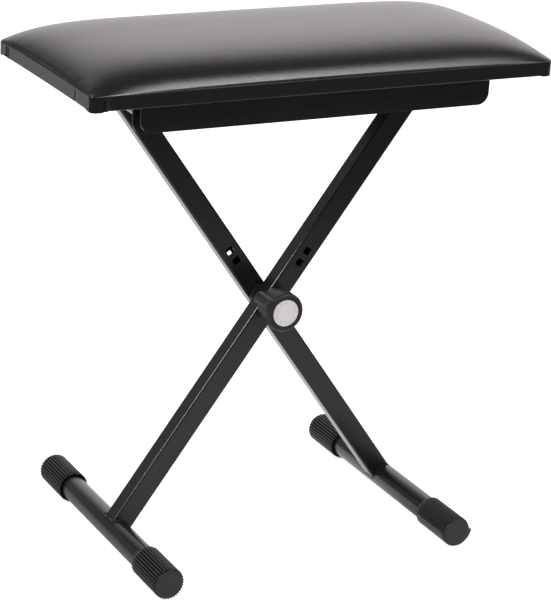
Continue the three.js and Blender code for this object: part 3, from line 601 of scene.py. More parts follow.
@dataclass
class Workshop:
    """Hands out the finished materials and joins each new piece to its body."""

    effects: SharedEffects = field(default_factory=SharedEffects)
    materials: dict[str, bpy.types.Material] = field(default_factory=dict)

    def material(self, slot: str) -> bpy.types.Material:
        """The material of a slot, made on first use.

        Args:
            slot: Name of the slot and of its finish.

        Returns:
            The material.
        """
        if slot not in self.materials:
            self.materials[slot] = FINISHES[slot].build(self.effects)
        return self.materials[slot]

    def fit(self, piece: Piece, body: Body, slot: str, *nodes: str) -> Piece:
        """Gives a piece its finish and its body, and hides the CAD nodes that it stands for.

        Args:
            piece: The new object.
            body: The body that carries it.
            slot: Its finish.
            nodes: CAD nodes that it replaces.

        Returns:
            The piece.
        """
        piece.data.materials.append(self.material(slot))
        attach(piece, body.value)
        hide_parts(*nodes)
        log.info("made %s on %s: %d faces", piece.name, body.value, len(piece.data.polygons))
        return piece

    def dress_frame(self, record: dict[str, object]) -> None:
        """Gives every CAD node the material of its slot, for those that stay in sight.

        Args:
            record: The part's record, which names each node's slot.
        """
        for part in record["subparts"]:
            mesh = frame["nodes"][part["node"]].data
            mesh.materials.clear()
            mesh.materials.append(self.material(part["material_slot"]))


def soften(piece: Piece, width: float) -> None:
    """Adds a bevel to the piece's sharp edges.

    Args:
        piece: The object.
        width: The bevel's width in millimetres.
    """
    least_bend = math.radians(45)
    bevel = piece.modifiers.new("edge", "BEVEL")
    bevel.width = width * MM
    bevel.segments = 2
    bevel.limit_method = "ANGLE"
    bevel.angle_limit = least_bend
    bevel.harden_normals = False


@dataclass
class BenchSizes:
    """The sizes that several sub-assemblies share, in millimetres, as in the solid model."""

    rest_angle: float = math.radians(54.3)
    closed_angle: float = math.radians(86)
    lower_arm: float = 270.3
    upper_arm: float = 267.0
    hinge_x: float = 153.7
    hinge_drop: float = 18.9
    foot_radius: float = 12.5
    bar_radius: float = 11.1
    cap_wall: float = 2.87
    fit_gap: float = 0.3
    leg_gap: float = 6.0
    leg_depth: float = 18.7
    leg_width: float = 22.1
    knob_washer: float = 1.5

    @property
    def cap_radius(self) -> float:
        """Radius of a foot cap, and so the height of the foot tubes' axes."""
        return self.foot_radius + self.fit_gap + self.cap_wall

    @property
    def pivot(self) -> Array:
        """Centre of the crossing."""
        across, up = math.cos(self.rest_angle), math.sin(self.rest_angle)
        return np.array([self.hinge_x - self.upper_arm * across, 0.0, self.cap_radius + self.lower_arm * up])

    @property
    def hinge_z(self) -> float:
        """Height of both cross-bars."""
        return float(self.pivot[2]) + self.upper_arm * math.sin(self.rest_angle)

    @property
    def slide_x(self) -> tuple[float, float]:
        """The sliding bar's place at rest and with the legs closed."""
        rest = self.hinge_x - 2 * self.upper_arm * math.cos(self.rest_angle)
        return rest, self.hinge_x - 2 * self.upper_arm * math.cos(self.closed_angle)

    @property
    def seat_bottom(self) -> float:
        """Height of the seat's underside."""
        return self.hinge_z + self.hinge_drop

    @property
    def leg_face(self) -> float:
        """Distance of the legs' outer faces from the bench's middle plane."""
        return self.leg_gap / 2 + self.leg_depth

    def foot_x(self, side: int) -> float:
        """X of a leg's foot; side is -1 for the front leg, whose foot is on the left, 1 for the rear."""
        return float(self.pivot[0]) + side * self.lower_arm * math.cos(self.rest_angle)


@dataclass(frozen=True)
class Fold:
    """A crease or ridge in the seat's band: its side, place from the corner, depth, width and lean.

    The corner is 0 to 3 round the seat from the rear right; along is 0 on a long side and 1 on an end.
    """

    corner: int
    along: int
    place: float
    depth: float
    spread: float
    lean: float


@dataclass
class SeatCushion:
    """The padded seat: vinyl drawn over foam and board, with its hem turned under, and a cloth below.

    Values of the four corners go round the seat from the rear right one.
    """

    sizes: BenchSizes
    length: float = 480.0
    depth: float = 229.0
    corner_radii: tuple[float, float, float, float] = (9.0, 12.0, 6.0, 8.0)
    least_radius: float = 0.3
    band_height: float = 13.7
    crown: float = 27.5
    side_draw: float = 1.2
    length_power: float = 7.4
    depth_power: float = 2.8
    rim_power: float = 24.0
    crown_power: float = 0.6
    edge_share: float = 0.005
    pulled_corner: int = 1
    pulled_depth: float = 3.4
    pulled_reach: float = 22.0
    pucker_depth: float = 0.35
    pucker_reach: float = 0.022
    pucker_start: float = 0.006
    pucker_ends: float = 0.9
    pucker_fade: float = 0.08
    roll_radius: float = 0.9
    roll_start: float = math.radians(50)
    hem_radius: float = 0.9
    hem_inside: float = 3.2
    tuck: float = 15.0
    cover_thickness: float = 1.2
    inner_draw: tuple[float, float, float] = (0.992, 0.985, 1.0)
    cloth_inset: float = 8.0
    cloth_lift: float = 0.15
    cloth_thickness: float = 0.6
    cloth_wave: float = 0.12
    corner_steps: int = 12
    crown_rings: int = 46
    crown_spacing: float = 0.9
    roll_rings: int = 7
    band_rings: int = 9
    hem_rings: int = 6
    inner_every: int = 4
    cloth_rings: int = 24
    close_step: float = 0.35
    close_reach: float = 18.0
    step_growth: float = 0.07
    wide_step: float = 4.0
    fold_fade: float = 0.25
    corner_hang: tuple[float, float, float, float] = (0.6, 0.9, 1.2, 0.9)
    hang_reach: float = 17.0
    hang_fade: float = 7.0
    folds: tuple[Fold, ...] = (
        Fold(2, 0, 12.4, -1.15, 0.6, 0.9), Fold(2, 0, 14.6, 0.9, 1.0, 0.9), Fold(2, 0, 18.6, -0.7, 0.9, 0.6),
        Fold(2, 1, 36.5, -0.4, 1.1, 1.0), Fold(1, 1, 26.0, -0.9, 1.4, -0.8),
        Fold(3, 0, 16.2, -0.4, 0.9, -1.6), Fold(1, 1, 28.4, 0.5, 1.4, -0.8),
        Fold(1, 0, 12.8, -1.0, 0.85, 1.2), Fold(1, 0, 15.0, 0.6, 1.1, 0.9), Fold(0, 0, 13.4, -0.9, 0.9, 1.0),
        Fold(0, 1, 24.0, -0.6, 0.9, 0.6), Fold(3, 1, 25.0, -0.5, 0.9, 0.6),
    )

    def stations(self, length: float) -> Array:
        """Shares of a side where it has a point: close together near both corners, wider between.

        The step is close_step up to close_reach, then grows by step_growth of the distance, up to wide_step.

        Args:
            length: The side's length.

        Returns:
            The shares, without the side's two ends.
        """
        places = [0.0]
        while places[-1] < length / 2:
            growth = self.step_growth * max(places[-1] - self.close_reach, 0.0)
            places.append(places[-1] + min(self.close_step + growth, self.wide_step))
        half = np.array(places[1:-1])
        return np.concatenate([half, length - half[::-1]]) / length

    def outline(self, inset: float) -> Array:
        """Rounded rectangle whose sides pull in midway by side_draw (1 - t^2), drawn inset.

        Args:
            inset: Distance inside the full outline.

        Returns:
            Points in X and Y, in order round the seat.
        """
        full = np.array([self.length / 2, self.depth / 2])
        half = full - inset
        radius = np.maximum(np.array(self.corner_radii) - inset, self.least_radius)[:, None]
        centres = CORNER_SIGNS * (half - radius)
        turn = np.linspace(0.0, 1.0, self.corner_steps + 1)
        angle = (np.arange(4)[:, None] + turn[None, :]) * QUARTER_TURN
        arcs = centres[:, None, :] + radius[..., None] * np.stack([np.cos(angle), np.sin(angle)], axis=-1)
        parts: list[Array] = []
        for corner in range(4):
            other = (corner + 1) % 4
            length = 2 * float(full[corner % 2]) - self.corner_radii[corner] - self.corner_radii[other]
            t = self.stations(length)[:, None]
            parts += [arcs[corner], arcs[corner][-1] * (1 - t) + arcs[other][0] * t]
        points = np.vstack(parts)
        share = points / half
        return points - self.side_draw * (1 - share[:, ::-1] ** 2) * share

    def height(self, x: Array, y: Array, share: Array) -> Array:
        """Rise over the edge: crown a b, with a = (1 - |u|^n)^k and b = ((1 - |v|^m) (1 - |v|^r))^k.

        u and v are the shares of the half length and half depth, and n, m, r and k are the length, depth,
        rim and crown powers. The last edge_share of the outline's share falls to the edge as the square
        root of what is left, so corners meet it too.

        Args:
            x: X of each point.
            y: Y of each point.
            share: How far each point is from the middle to the edge.

        Returns:
            The rise of each point.
        """
        least = 1e-6
        along = np.clip(np.abs(x) / (self.length / 2), 0, 1)
        across = np.clip(np.abs(y) / (self.depth / 2), 0, 1)
        lengthways = np.maximum(1 - along**self.length_power, least) ** self.crown_power
        rounded = (1 - across**self.depth_power) * (1 - across**self.rim_power)
        crossways = np.maximum(rounded, least) ** self.crown_power
        return self.crown * lengthways * crossways * np.sqrt(np.clip((1 - share) / self.edge_share, 0, 1))

    def pulled(self, points: Array) -> Array:
        """How far the top is pulled down round one corner: depth exp(-d / reach), d the distance from it."""
        away = np.linalg.norm(self.from_corner(points[..., :2], self.pulled_corner), axis=-1)
        return self.pulled_depth * np.exp(-away / self.pulled_reach)

    def pucker(self, points: Array, share: Array) -> Array:
        """Shallow dents where the vinyl is pulled to the ends.

        They are the upper halves of the waves sin(y / 3.1 + 1.3 sin(x / 31)) sin(y / 9 + 0.7). They fade
        inwards as exp(-(left / reach)^2), with left the share left to the edge, and stay near both ends.

        Args:
            points: The crown's points.
            share: How far each point is from the middle to the edge.

        Returns:
            The change in height of each point.
        """
        x, y = points[..., 0], points[..., 1]
        left = 1 - share
        near = np.exp(-((left / self.pucker_reach) ** 2)) * smooth_step(left / self.pucker_start)
        wave = np.sin(y / 3.1 + 1.3 * np.sin(x / 31.0)) * np.sin(y / 9.0 + 0.7)
        ends = smooth_step((np.abs(x) / (self.length / 2) - self.pucker_ends) / self.pucker_fade)
        return -self.pucker_depth * near * ends * np.clip(wave, 0, 1)

    def from_corner(self, points: Array, corner: int) -> Array:
        """Distance of each point from a corner of the seat, along the long side and along the end."""
        return np.array([self.length / 2, self.depth / 2]) - CORNER_SIGNS[corner] * points

    def folded(self, points: Array, drop: Array) -> Array:
        """How far each point of the band moves out at the folds by the corners.

        A fold is depth exp(-(d / w)^2), where d is the distance along its side from its place, which leans
        with the drop. Its width w is spread (0.7 + 0.5 drop), and it fades in over the top fold_fade.

        Args:
            points: The outline's points.
            drop: Share of the band's height, one row each.

        Returns:
            One row of distances for each drop.
        """
        moved = np.zeros((len(drop), len(points)))
        fade = smooth_step(drop / self.fold_fade)
        for fold in self.folds:
            away = self.from_corner(points, fold.corner)
            run, beside = away[:, fold.along], away[:, 1 - fold.along]
            d = run[None] - fold.place - fold.lean * (drop - 0.5)
            shape = fold.depth * np.exp(-((d / (fold.spread * (0.7 + 0.5 * drop))) ** 2)) * fade
            moved += np.where((beside < self.corner_radii[fold.corner])[None], shape, 0.0)
        return moved

    def hang(self, points: Array) -> Array:
        """How far the gathered vinyl of each corner reaches below the band's bottom.

        Args:
            points: The outline's points.

        Returns:
            The distance for each point.
        """
        low = np.zeros(len(points))
        for corner, depth in enumerate(self.corner_hang):
            run = self.from_corner(points, corner).max(axis=1)
            low += depth * smooth_step((self.hang_reach - run) / self.hang_fade)
        return low

    def cover(self) -> Piece:
        """The vinyl as one closed skin: crown, roll at the edge, band, hem, and back inside.

        The crown's rings are the rim's outline times a sine of even steps to a power, so that they lie
        close near the edge. Roll and hem are parts of a circle. The band between moves out at the folds.

        Returns:
            The cushion.
        """
        outer = self.outline(0.0)
        bottom = self.sizes.seat_bottom
        top = bottom + self.band_height
        rim = self.outline(self.roll_radius * (1 - math.sin(self.roll_start)))
        rise = np.sin(np.linspace(0.0, QUARTER_TURN, self.crown_rings))
        share = np.unique(rise**self.crown_spacing)[:, None]
        x, y = share * rim[:, 0], share * rim[:, 1]
        crown = np.stack([x, y, top + self.height(x, y, share + 0 * x)], axis=-1)
        crown[..., 2] += self.pucker(crown, share + 0 * x) - self.pulled(crown)
        ahead = np.roll(outer, -1, axis=0) - np.roll(outer, 1, axis=0)
        normal = np.stack([ahead[:, 1], -ahead[:, 0]], axis=-1)
        normal /= np.linalg.norm(normal, axis=1, keepdims=True)
        turn = np.linspace(self.roll_start, QUARTER_TURN, self.roll_rings)[1:, None]
        roll_in = self.roll_radius * (1 - np.sin(turn))
        fall = self.roll_radius * (math.cos(self.roll_start) - np.cos(turn))
        roll_z = top - self.pulled(outer) - fall
        roll = lifted(outer - normal * roll_in[..., None], roll_z)
        low = self.hang(outer)
        drop = np.linspace(0.0, 1.0, self.band_rings)[1:-1, None]
        start, stop = roll_z[-1], bottom + self.hem_radius - low
        band = lifted(outer + normal * self.folded(outer, drop)[..., None], start + (stop - start) * drop)
        turn = np.linspace(0.0, QUARTER_TURN, self.hem_rings)[:, None]
        hem_out = self.folded(outer, np.array([[1.0]])) - self.hem_radius * (1 - np.cos(turn))
        hem_z = bottom - low + self.hem_radius * (1 - np.sin(turn))
        hem = lifted(outer + normal * hem_out[..., None], hem_z)
        ring, above = self.outline(self.tuck), bottom + self.cover_thickness
        under = [(self.outline(self.hem_inside), bottom), (ring, bottom), (ring, above)]
        under.append((self.outline(self.cover_thickness), above))
        flat = [lifted(points, np.full(len(points), level)) for points, level in under]
        drawn = crown[::-self.inner_every] * np.array(self.inner_draw)
        inner = drawn - np.array([0.0, 0.0, self.cover_thickness])
        peak = np.array([[[0.0, 0.0, top + self.crown - self.cover_thickness]]])
        closing = np.repeat(peak, len(outer), axis=1)
        rings = np.concatenate([crown, roll, band, hem, np.stack(flat), inner[1:], closing])
        cells = cells_of(len(rings), len(outer), wrap_cols=True)
        return mesh_piece("seat_cushion", rings, cells, crease_deg=50.0)

    def cloth(self) -> Piece:
        """The cloth below: rings of the inset outline, top side then bottom side.

        Its slight waves are cloth_wave sin(x / 17) sin(y / 11) (1 - s^6), with s the share from the middle
        to the edge.

        Returns:
            The cloth.
        """
        outline = self.outline(self.cloth_inset)
        top = self.sizes.seat_bottom - self.sizes.fit_gap
        share = np.linspace(0.0, 1.0, self.cloth_rings)[:, None]
        x, y = share * outline[:, 0], share * outline[:, 1]
        wave = self.cloth_wave * np.sin(x / 17.0) * np.sin(y / 11.0) * (1 - share**6)
        upper = np.stack([x, y, top - self.cloth_lift + wave], axis=-1)
        lower = (upper - np.array([0.0, 0.0, self.cloth_thickness]))[::-1]
        rings = np.concatenate([upper, lower])
        cells = cells_of(len(rings), len(outline), wrap_cols=True)
        return mesh_piece("bottom_cloth_sheet", rings, cells, crease_deg=50.0)

    def build(self, shop: Workshop) -> None:
        """Args:
            shop: Gives the pieces their finish and body.
        """
        cushion = shop.fit(self.cover(), Body.SEAT, "seat_vinyl", "seat_cover", "seat_foam")
        cloth = shop.fit(self.cloth(), Body.SEAT, "bottom_cloth", "bottom_cloth")


@dataclass
class Rails:
    """The two channels under the seat: a plain outer flange, a web, and an inner flange with the slot."""

    sizes: BenchSizes
    slot_margin: float = 25.4
    hinge_margin: float = 27.6
    wall: float = 1.5
    width: float = 18.6
    outer_y: float = 94.3
    outer_depth: float = 27.9
    inner_depth: float = 32.9
    corner_radius: float = 11.5
    edge_round: float = 0.3
    bend_radius: float = 1.8
    least_radius: float = 0.3
    hole_radius: float = 5.8
    hole_reach: float = 2.0
    hinge_clear: float = 12.0
    bend_margin: float = 0.2
    least_hang: float = 0.3
    top_drop: float = 1.4
    end_lines: int = 14
    hole_lines: int = 17
    slot_lines: int = 26
    flange_lines: int = 6
    bend_lines: int = 5
    hole_rows: int = 13

    @property
    def hinge_down(self) -> float:
        """Depth of the slot's middle and of the hinge hole below the channel's top."""
        return self.sizes.seat_bottom - self.top_drop - self.sizes.hinge_z

    def rows(self) -> Array:
        """X of the grid's rows: close at the rounded corners and round the holes, wide between.

        Returns:
            The places, in rising order, without those of the holes' arcs that the slot opens.
        """
        rest, closed = self.sizes.slide_x
        left, right = rest - self.slot_margin, self.sizes.hinge_x + self.hinge_margin
        bend = self.corner_radius * (1 - np.cos(np.linspace(0.0, QUARTER_TURN, self.end_lines)))
        hole = self.hole_radius * np.sin(np.linspace(-QUARTER_TURN, QUARTER_TURN, self.hole_lines))
        between = np.linspace(rest, closed, self.slot_lines)[1:-1]
        parts = [left + bend, right - bend, rest + hole, closed + hole, self.sizes.hinge_x + hole, between]
        x = np.unique(np.round(np.concatenate(parts), 4))
        past_rest = (np.abs(x - rest) < self.hole_radius) & (x > rest)
        before_closed = (np.abs(x - closed) < self.hole_radius) & (x < closed)
        return x[~(past_rest | before_closed)]

    def section(self, shrink: float) -> tuple[Array, Array, Array]:
        """The channel's section from the outer flange's lower edge over the web to the inner one's.

        Args:
            shrink: Distance inside the outer skin.

        Returns:
            Y of each column, its depth below the channel's top, and 1 for the columns from the inner
            bend down the inner flange or 0 for the others.
        """
        radius = max(self.bend_radius - shrink, self.least_radius)
        arc = np.sin(np.linspace(-QUARTER_TURN, QUARTER_TURN, self.hole_rows))
        hole = self.hole_radius * arc + self.hinge_down
        bend = np.linspace(0.0, QUARTER_TURN, self.bend_lines)
        outer_down = np.linspace(self.outer_depth, radius + shrink, self.flange_lines)
        inner_down = np.unique(np.concatenate([[radius + shrink, self.inner_depth], hole]))
        near, far = self.outer_y - shrink, self.outer_y - self.width + shrink
        web = np.linspace(near - radius, far + radius, self.flange_lines)[1:-1]
        y = np.concatenate([
            np.full(self.flange_lines, near), near - radius * (1 - np.cos(bend[1:])), web,
            far + radius * (1 - np.sin(bend)), np.full(len(inner_down) - 1, far),
        ])
        down = np.concatenate([
            outer_down, shrink + radius * (1 - np.sin(bend[1:])), np.full(len(web), shrink),
            shrink + radius * (1 - np.cos(bend)), inner_down[1:],
        ])
        inner_count = self.bend_lines + len(inner_down) - 1
        flange = np.concatenate([np.zeros(len(y) - inner_count), np.ones(inner_count)])
        return y, down, flange

    def skin(self, side: int, shrink: float, x: Array) -> Array:
        """One skin of a rail: the section carried along X, its flanges shortened at the rounded corners.

        The depth is scaled by 1 - (R - sqrt(R^2 - (R - e)^2)) / depth, with e the distance to the end.

        Args:
            side: -1 for the front rail, 1 for the rear one.
            shrink: Distance inside the outer skin.
            x: X of each row.

        Returns:
            The skin's points, a row for each x.
        """
        y, down, flange = self.section(shrink)
        depth = np.where(flange > 0, self.inner_depth, self.outer_depth)
        radius = self.corner_radius
        end = np.clip(np.minimum(x - x[0], x[-1] - x), 0.0, radius)
        rise = radius - np.sqrt(np.maximum(radius**2 - (radius - end) ** 2, 0.0))
        scale = 1 - rise[:, None] / depth[None, :]
        top = self.sizes.seat_bottom - self.top_drop
        hung = down > self.bend_radius + self.bend_margin
        shortened = np.maximum(down * scale, np.minimum(down, self.bend_radius + self.least_hang))
        z = top - np.where(hung, shortened, down)
        grid = np.stack([x[:, None] + 0 * z, side * y[None, :] + 0 * z, z], axis=-1)
        inner = np.nonzero((flange > 0) & hung)[0]
        face = grid[:, inner][..., [0, 2]]
        rest, closed = self.sizes.slide_x
        reach, along = self.hole_radius + self.hole_reach, face[..., 0]
        hinge, by_hinge = self.sizes.hinge_x, along > closed + self.hinge_clear
        for centre, chosen in ((rest, along <= rest), (closed, along >= closed), (hinge, by_hinge)):
            bent = rounded_hole(face, (centre, self.sizes.hinge_z), self.hole_radius, reach)
            face = np.where(chosen[..., None], bent, face)
        grid[:, inner[0]:inner[-1] + 1, 0] = face[..., 0]
        grid[:, inner[0]:inner[-1] + 1, 2] = face[..., 1]
        return grid

    def channel(self, side: int, name: str) -> Piece:
        """One rail as a wall between its two skins, open at the slot and the hinge hole.

        Args:
            side: -1 for the front rail, 1 for the rear one.
            name: The object's name.

        Returns:
            The rail.
        """
        x = self.rows()
        _, down, flange = self.section(0.0)
        outer, inner = self.skin(side, 0.0, x), self.skin(side, self.wall, x)
        middle_x = (x[1:] + x[:-1]) / 2
        middle_down = (down[1:] + down[:-1]) / 2
        on_face = (flange[1:] > 0) & (np.abs(middle_down - self.hinge_down) < self.hole_radius)
        rest, closed = self.sizes.slide_x
        slot = (middle_x > rest - self.hole_radius) & (middle_x < closed + self.hole_radius)
        hole = np.abs(middle_x - self.sizes.hinge_x) < self.hole_radius
        keep = ~((slot | hole)[:, None] & on_face[None, :])
        piece = two_skin_shell(name, outer, inner, keep, wrap_cols=False)
        soften(piece, self.edge_round)
        return piece

    def build(self, shop: Workshop) -> None:
        """Makes both rails."""
        for side, node in ((-1, "front_rail"), (1, "rear_rail")):
            shop.fit(self.channel(side, node + "_channel"), Body.SEAT, "black_paint", node)


@dataclass
class CrossedLeg:
    """One leg: a rectangular tube with its square holes and pivot bores, and its two weld beads.

    Its side is -1 for the front leg and 1 for the rear one.
    """

    sizes: BenchSizes
    side: int
    weld_radius: float
    weld_lump: float
    wall: float = 1.5
    corner_radius: float = 2.0
    edge_round: float = 0.25
    least_radius: float = 0.45
    hole_size: float = 7.5
    hole_places: tuple[float, float] = (48.3, 61.8)
    pivot_bore: float = 4.3
    bore_reach: float = 5.6
    cup_line: float = 7.1
    cup_bore: float = 8.7
    crossing_clear: float = 12.0
    holes_clear: tuple[float, float] = (40.0, 70.0)
    end_room: float = 1.5
    corner_lines: int = 5
    side_lines: tuple[float, ...] = (-1.0, -0.94, 0.0, 0.94, 1.0)
    plain_rows: tuple[int, int, int] = (16, 3, 12)
    weld_steps: int = 132
    weld_sides: int = 14
    weld_waves: tuple[tuple[float, int, float], ...] = ((0.13, 31, 0.0), (0.08, 53, 1.0), (0.1, 7, 0.0))

    @property
    def name(self) -> str:
        """The leg's name in the model."""
        return "front_leg" if self.side < 0 else "rear_leg"

    @property
    def body(self) -> Body:
        """The body that carries the leg."""
        return Body.FRONT_LEG if self.side < 0 else Body.REAR_LEG

    @property
    def middle_y(self) -> float:
        """Y of the leg's middle plane."""
        return self.side * (self.sizes.leg_gap / 2 + self.sizes.leg_depth / 2)

    def placed(self, local: Array) -> Array:
        """Turns points from the leg's own frame, pivot at zero and the cross-bar up, into the bench's.

        Args:
            local: Points; the last axis holds X, Y and Z.

        Returns:
            The turned and moved points.
        """
        turn = self.side * -(QUARTER_TURN - self.sizes.rest_angle)
        x = local[..., 0] * math.cos(turn) + local[..., 2] * math.sin(turn)
        z = -local[..., 0] * math.sin(turn) + local[..., 2] * math.cos(turn)
        return np.stack([x, local[..., 1], z], axis=-1) + self.sizes.pivot

    def face_lines(self) -> Array:
        """Places across a flat face where the grid has a line, from the leg's left edge to its right.

        Returns:
            The places, with the middle at 0.
        """
        bore, flat = self.pivot_bore, self.sizes.leg_width / 2 - self.corner_radius
        inner = [0.0, bore / 3, bore * 2 / 3, self.hole_size / 2, bore]
        half = np.array(inner + [self.bore_reach, self.cup_line, self.cup_bore, flat])
        return np.concatenate([-half[:0:-1], half])

    def faces(self) -> tuple[slice, slice]:
        """Columns of the front face and of the rear face in the tube's outline.

        Returns:
            One slice for each face.
        """
        count = len(self.face_lines())
        first = count + 2 * self.corner_lines + len(self.side_lines)
        return slice(0, count), slice(first, first + count)

    def section(self, shrink: float) -> Array:
        """The tube's outline in X and Y, with a column for each line of its front and rear faces.

        Args:
            shrink: Distance inside the outer skin.

        Returns:
            The outline's points.
        """
        half_x, half_y = self.sizes.leg_width / 2, self.sizes.leg_depth / 2
        lines = self.face_lines()
        small = max(self.corner_radius - shrink, self.least_radius)
        bend = np.linspace(0.0, QUARTER_TURN, self.corner_lines + 2)[1:-1]
        flat_y = (half_y - self.corner_radius) * np.array(self.side_lines)
        corners = []
        for k, (sx, sy) in enumerate(((1, -1), (1, 1), (-1, 1), (-1, -1))):
            angle = bend + (k - 1) * QUARTER_TURN
            centre = np.array([sx * (half_x - shrink - small), sy * (half_y - shrink - small)])
            corners.append(centre + small * np.stack([np.cos(angle), np.sin(angle)], axis=-1))
        front = np.stack([lines, np.full(len(lines), -half_y + shrink)], axis=-1)
        rear = np.stack([lines[::-1], np.full(len(lines), half_y - shrink)], axis=-1)
        right = np.stack([np.full(len(flat_y), half_x - shrink), flat_y], axis=-1)
        left = np.stack([np.full(len(flat_y), -half_x + shrink), flat_y[::-1]], axis=-1)
        return np.vstack([front, corners[0], right, corners[1], rear, corners[2], left, corners[3]])

    def rows(self) -> Array:
        """Places along the leg where the grid has a line.

        Returns:
            The places, in rising order.
        """
        low = -self.sizes.lower_arm + self.sizes.foot_radius + self.end_room
        high = self.sizes.upper_arm - self.sizes.bar_radius - self.end_room
        half, clear, (before, after) = self.hole_size / 2, self.crossing_clear, self.holes_clear
        holes = np.concatenate([[place - half, place, place + half] for place in self.hole_places])
        spans = ((low, -clear), (clear, before), (after, high))
        plain = [np.linspace(*span, count) for span, count in zip(spans, self.plain_rows)]
        return np.unique(np.round(np.concatenate([self.face_lines()[1:-1], holes, *plain]), 4))

    def skin(self, shrink: float) -> Array:
        """One skin: the outline carried along the leg, its ends following the round tubes they meet.

        The first and last rows lie at sqrt(R^2 - x^2) from the tubes' axes.

        Args:
            shrink: Distance inside the outer skin.

        Returns:
            The skin's points, a row for each place along the leg.
        """
        outline, rows = self.section(shrink), self.rows()
        across = outline[:, 0]
        plane = np.stack([across + 0 * rows[:, None], rows[:, None] + 0 * across], axis=-1)
        front, rear = self.faces()
        inward, outward = (rear, front) if self.side < 0 else (front, rear)
        flat = self.sizes.leg_width / 2 - self.corner_radius
        plane[:, inward] = rounded_hole(plane[:, inward], (0.0, 0.0), self.cup_bore, flat)
        plane[:, outward] = rounded_hole(plane[:, outward], (0.0, 0.0), self.pivot_bore, self.bore_reach)
        foot, bar = self.sizes.foot_radius + self.sizes.fit_gap, self.sizes.bar_radius + self.sizes.fit_gap
        low = -self.sizes.lower_arm + np.sqrt(foot**2 - across**2)
        high = self.sizes.upper_arm - np.sqrt(bar**2 - across**2)
        first, last = (np.stack([across, end], axis=-1)[None] for end in (low, high))
        plane = np.concatenate([first, plane, last])
        y = self.middle_y + outline[:, 1] + 0 * plane[..., 0]
        return np.stack([plane[..., 0], y, plane[..., 1]], axis=-1)

    def tube(self) -> Piece:
        """The leg tube as a wall between its skins, open at the square holes and the bores.

        Returns:
            The tube.
        """
        lines, rows = self.face_lines(), self.rows()
        outer, inner = self.placed(self.skin(0.0)), self.placed(self.skin(self.wall))
        across = np.abs(lines[1:] + lines[:-1]) / 2
        beyond = 2 * self.sizes.lower_arm
        along = np.concatenate([[-beyond], (rows[1:] + rows[:-1]) / 2, [beyond]])
        half = self.hole_size / 2
        from_hole = np.min([np.abs(along - place) for place in self.hole_places], axis=0)
        square = (from_hole < half)[:, None] & (across < half)
        cup = (np.abs(along) < self.cup_bore)[:, None] & (across < self.cup_bore)
        bore = (np.abs(along) < self.pivot_bore)[:, None] & (across < self.pivot_bore)
        front_bore, rear_bore = (bore, cup) if self.side < 0 else (cup, bore)
        front, rear = self.faces()
        keep = np.ones((len(along), outer.shape[1]), bool)
        keep[:, front.start:front.stop - 1] &= ~(square | front_bore)
        keep[:, rear.start:rear.stop - 1] &= ~(square | rear_bore)[:, ::-1]
        piece = two_skin_shell(self.name + "_square_tube", outer, inner, keep, wrap_cols=True)
        soften(piece, self.edge_round)
        return piece

    def weld(self, tube_radius: float, height: float, towards: int, name: str) -> Piece:
        """A weld bead: a lumpy ring carried round the leg's end in the corner with the round tube.

        The path is the leg's outline drawn out by the bead's radius, at sqrt(S^2 - x^2) from the tube's
        axis. The bead's radius swells as 1 + 0.13 sin(31 t) + 0.08 sin(53 t + 1) + 0.1 sin(7 t). On the
        left face, where drops gathered, it grows by weld_lump sin(21 t + 0.6) wherever that is above 0.

        Args:
            tube_radius: Radius of the round tube.
            height: Place of the tube's axis along the leg.
            towards: 1 where the leg lies above the tube, -1 where it lies below.
            name: The object's name.

        Returns:
            The bead.
        """
        away = self.weld_radius
        half_x, half_y = self.sizes.leg_width / 2 + away, self.sizes.leg_depth / 2 + away
        corner = np.array([[half_x, -half_y], [half_x, half_y], [-half_x, half_y], [-half_x, -half_y]])
        outline = eased(corner, self.corner_radius + away, closed=True, steps=8)
        closed = np.vstack([outline, outline[:1]])
        length = np.concatenate([[0.0], np.cumsum(np.linalg.norm(np.diff(closed, axis=0), axis=1))])
        run = np.linspace(0.0, length[-1], self.weld_steps, endpoint=False)
        x, y = (np.interp(run, length, closed[:, k]) for k in range(2))
        rise = np.sqrt(np.maximum((tube_radius + away) ** 2 - x**2, 0.0))
        centre = np.stack([x, self.middle_y + y, height + towards * rise], axis=-1)
        forward = np.roll(centre, -1, axis=0) - np.roll(centre, 1, axis=0)
        forward /= np.linalg.norm(forward, axis=1, keepdims=True)
        out = np.stack([x, y, 0 * x], axis=-1)
        out -= forward * np.sum(out * forward, axis=1, keepdims=True)
        out /= np.linalg.norm(out, axis=1, keepdims=True)
        up = np.cross(forward, out)
        t = run / length[-1] * FULL_TURN
        swell = 1 + sum(size * np.sin(waves * t + start) for size, waves, start in self.weld_waves)
        on_left = smooth_step((-x / half_x - 0.75) / 0.15)
        drops = np.clip(np.sin(21 * t + 0.6), 0, 1) * on_left
        radius = (self.weld_radius * swell + self.weld_lump * drops)[:, None, None]
        angle = np.linspace(0.0, FULL_TURN, self.weld_sides, endpoint=False)[None, :, None]
        ring = np.cos(angle) * out[:, None] + np.sin(angle) * up[:, None]
        points = self.placed(centre[:, None] + radius * ring)
        cells = cells_of(self.weld_steps, self.weld_sides, wrap_rows=True, wrap_cols=True)
        return mesh_piece(name, points, cells, crease_deg=80.0)

    def build(self, shop: Workshop) -> None:
        """Makes the tube and both beads.

        Args:
            shop: Gives the pieces their finish and body.
        """
        shop.fit(self.tube(), self.body, "black_paint", self.name + "_tube")
        foot = self.weld(self.sizes.foot_radius, -self.sizes.lower_arm, 1, self.name + "_foot_bead")
        shop.fit(foot, self.body, "black_paint", self.name + "_foot_weld")
        bar = self.weld(self.sizes.bar_radius, self.sizes.upper_arm, -1, self.name + "_bar_bead")
        shop.fit(bar, self.body, "black_paint", self.name + "_bar_weld")


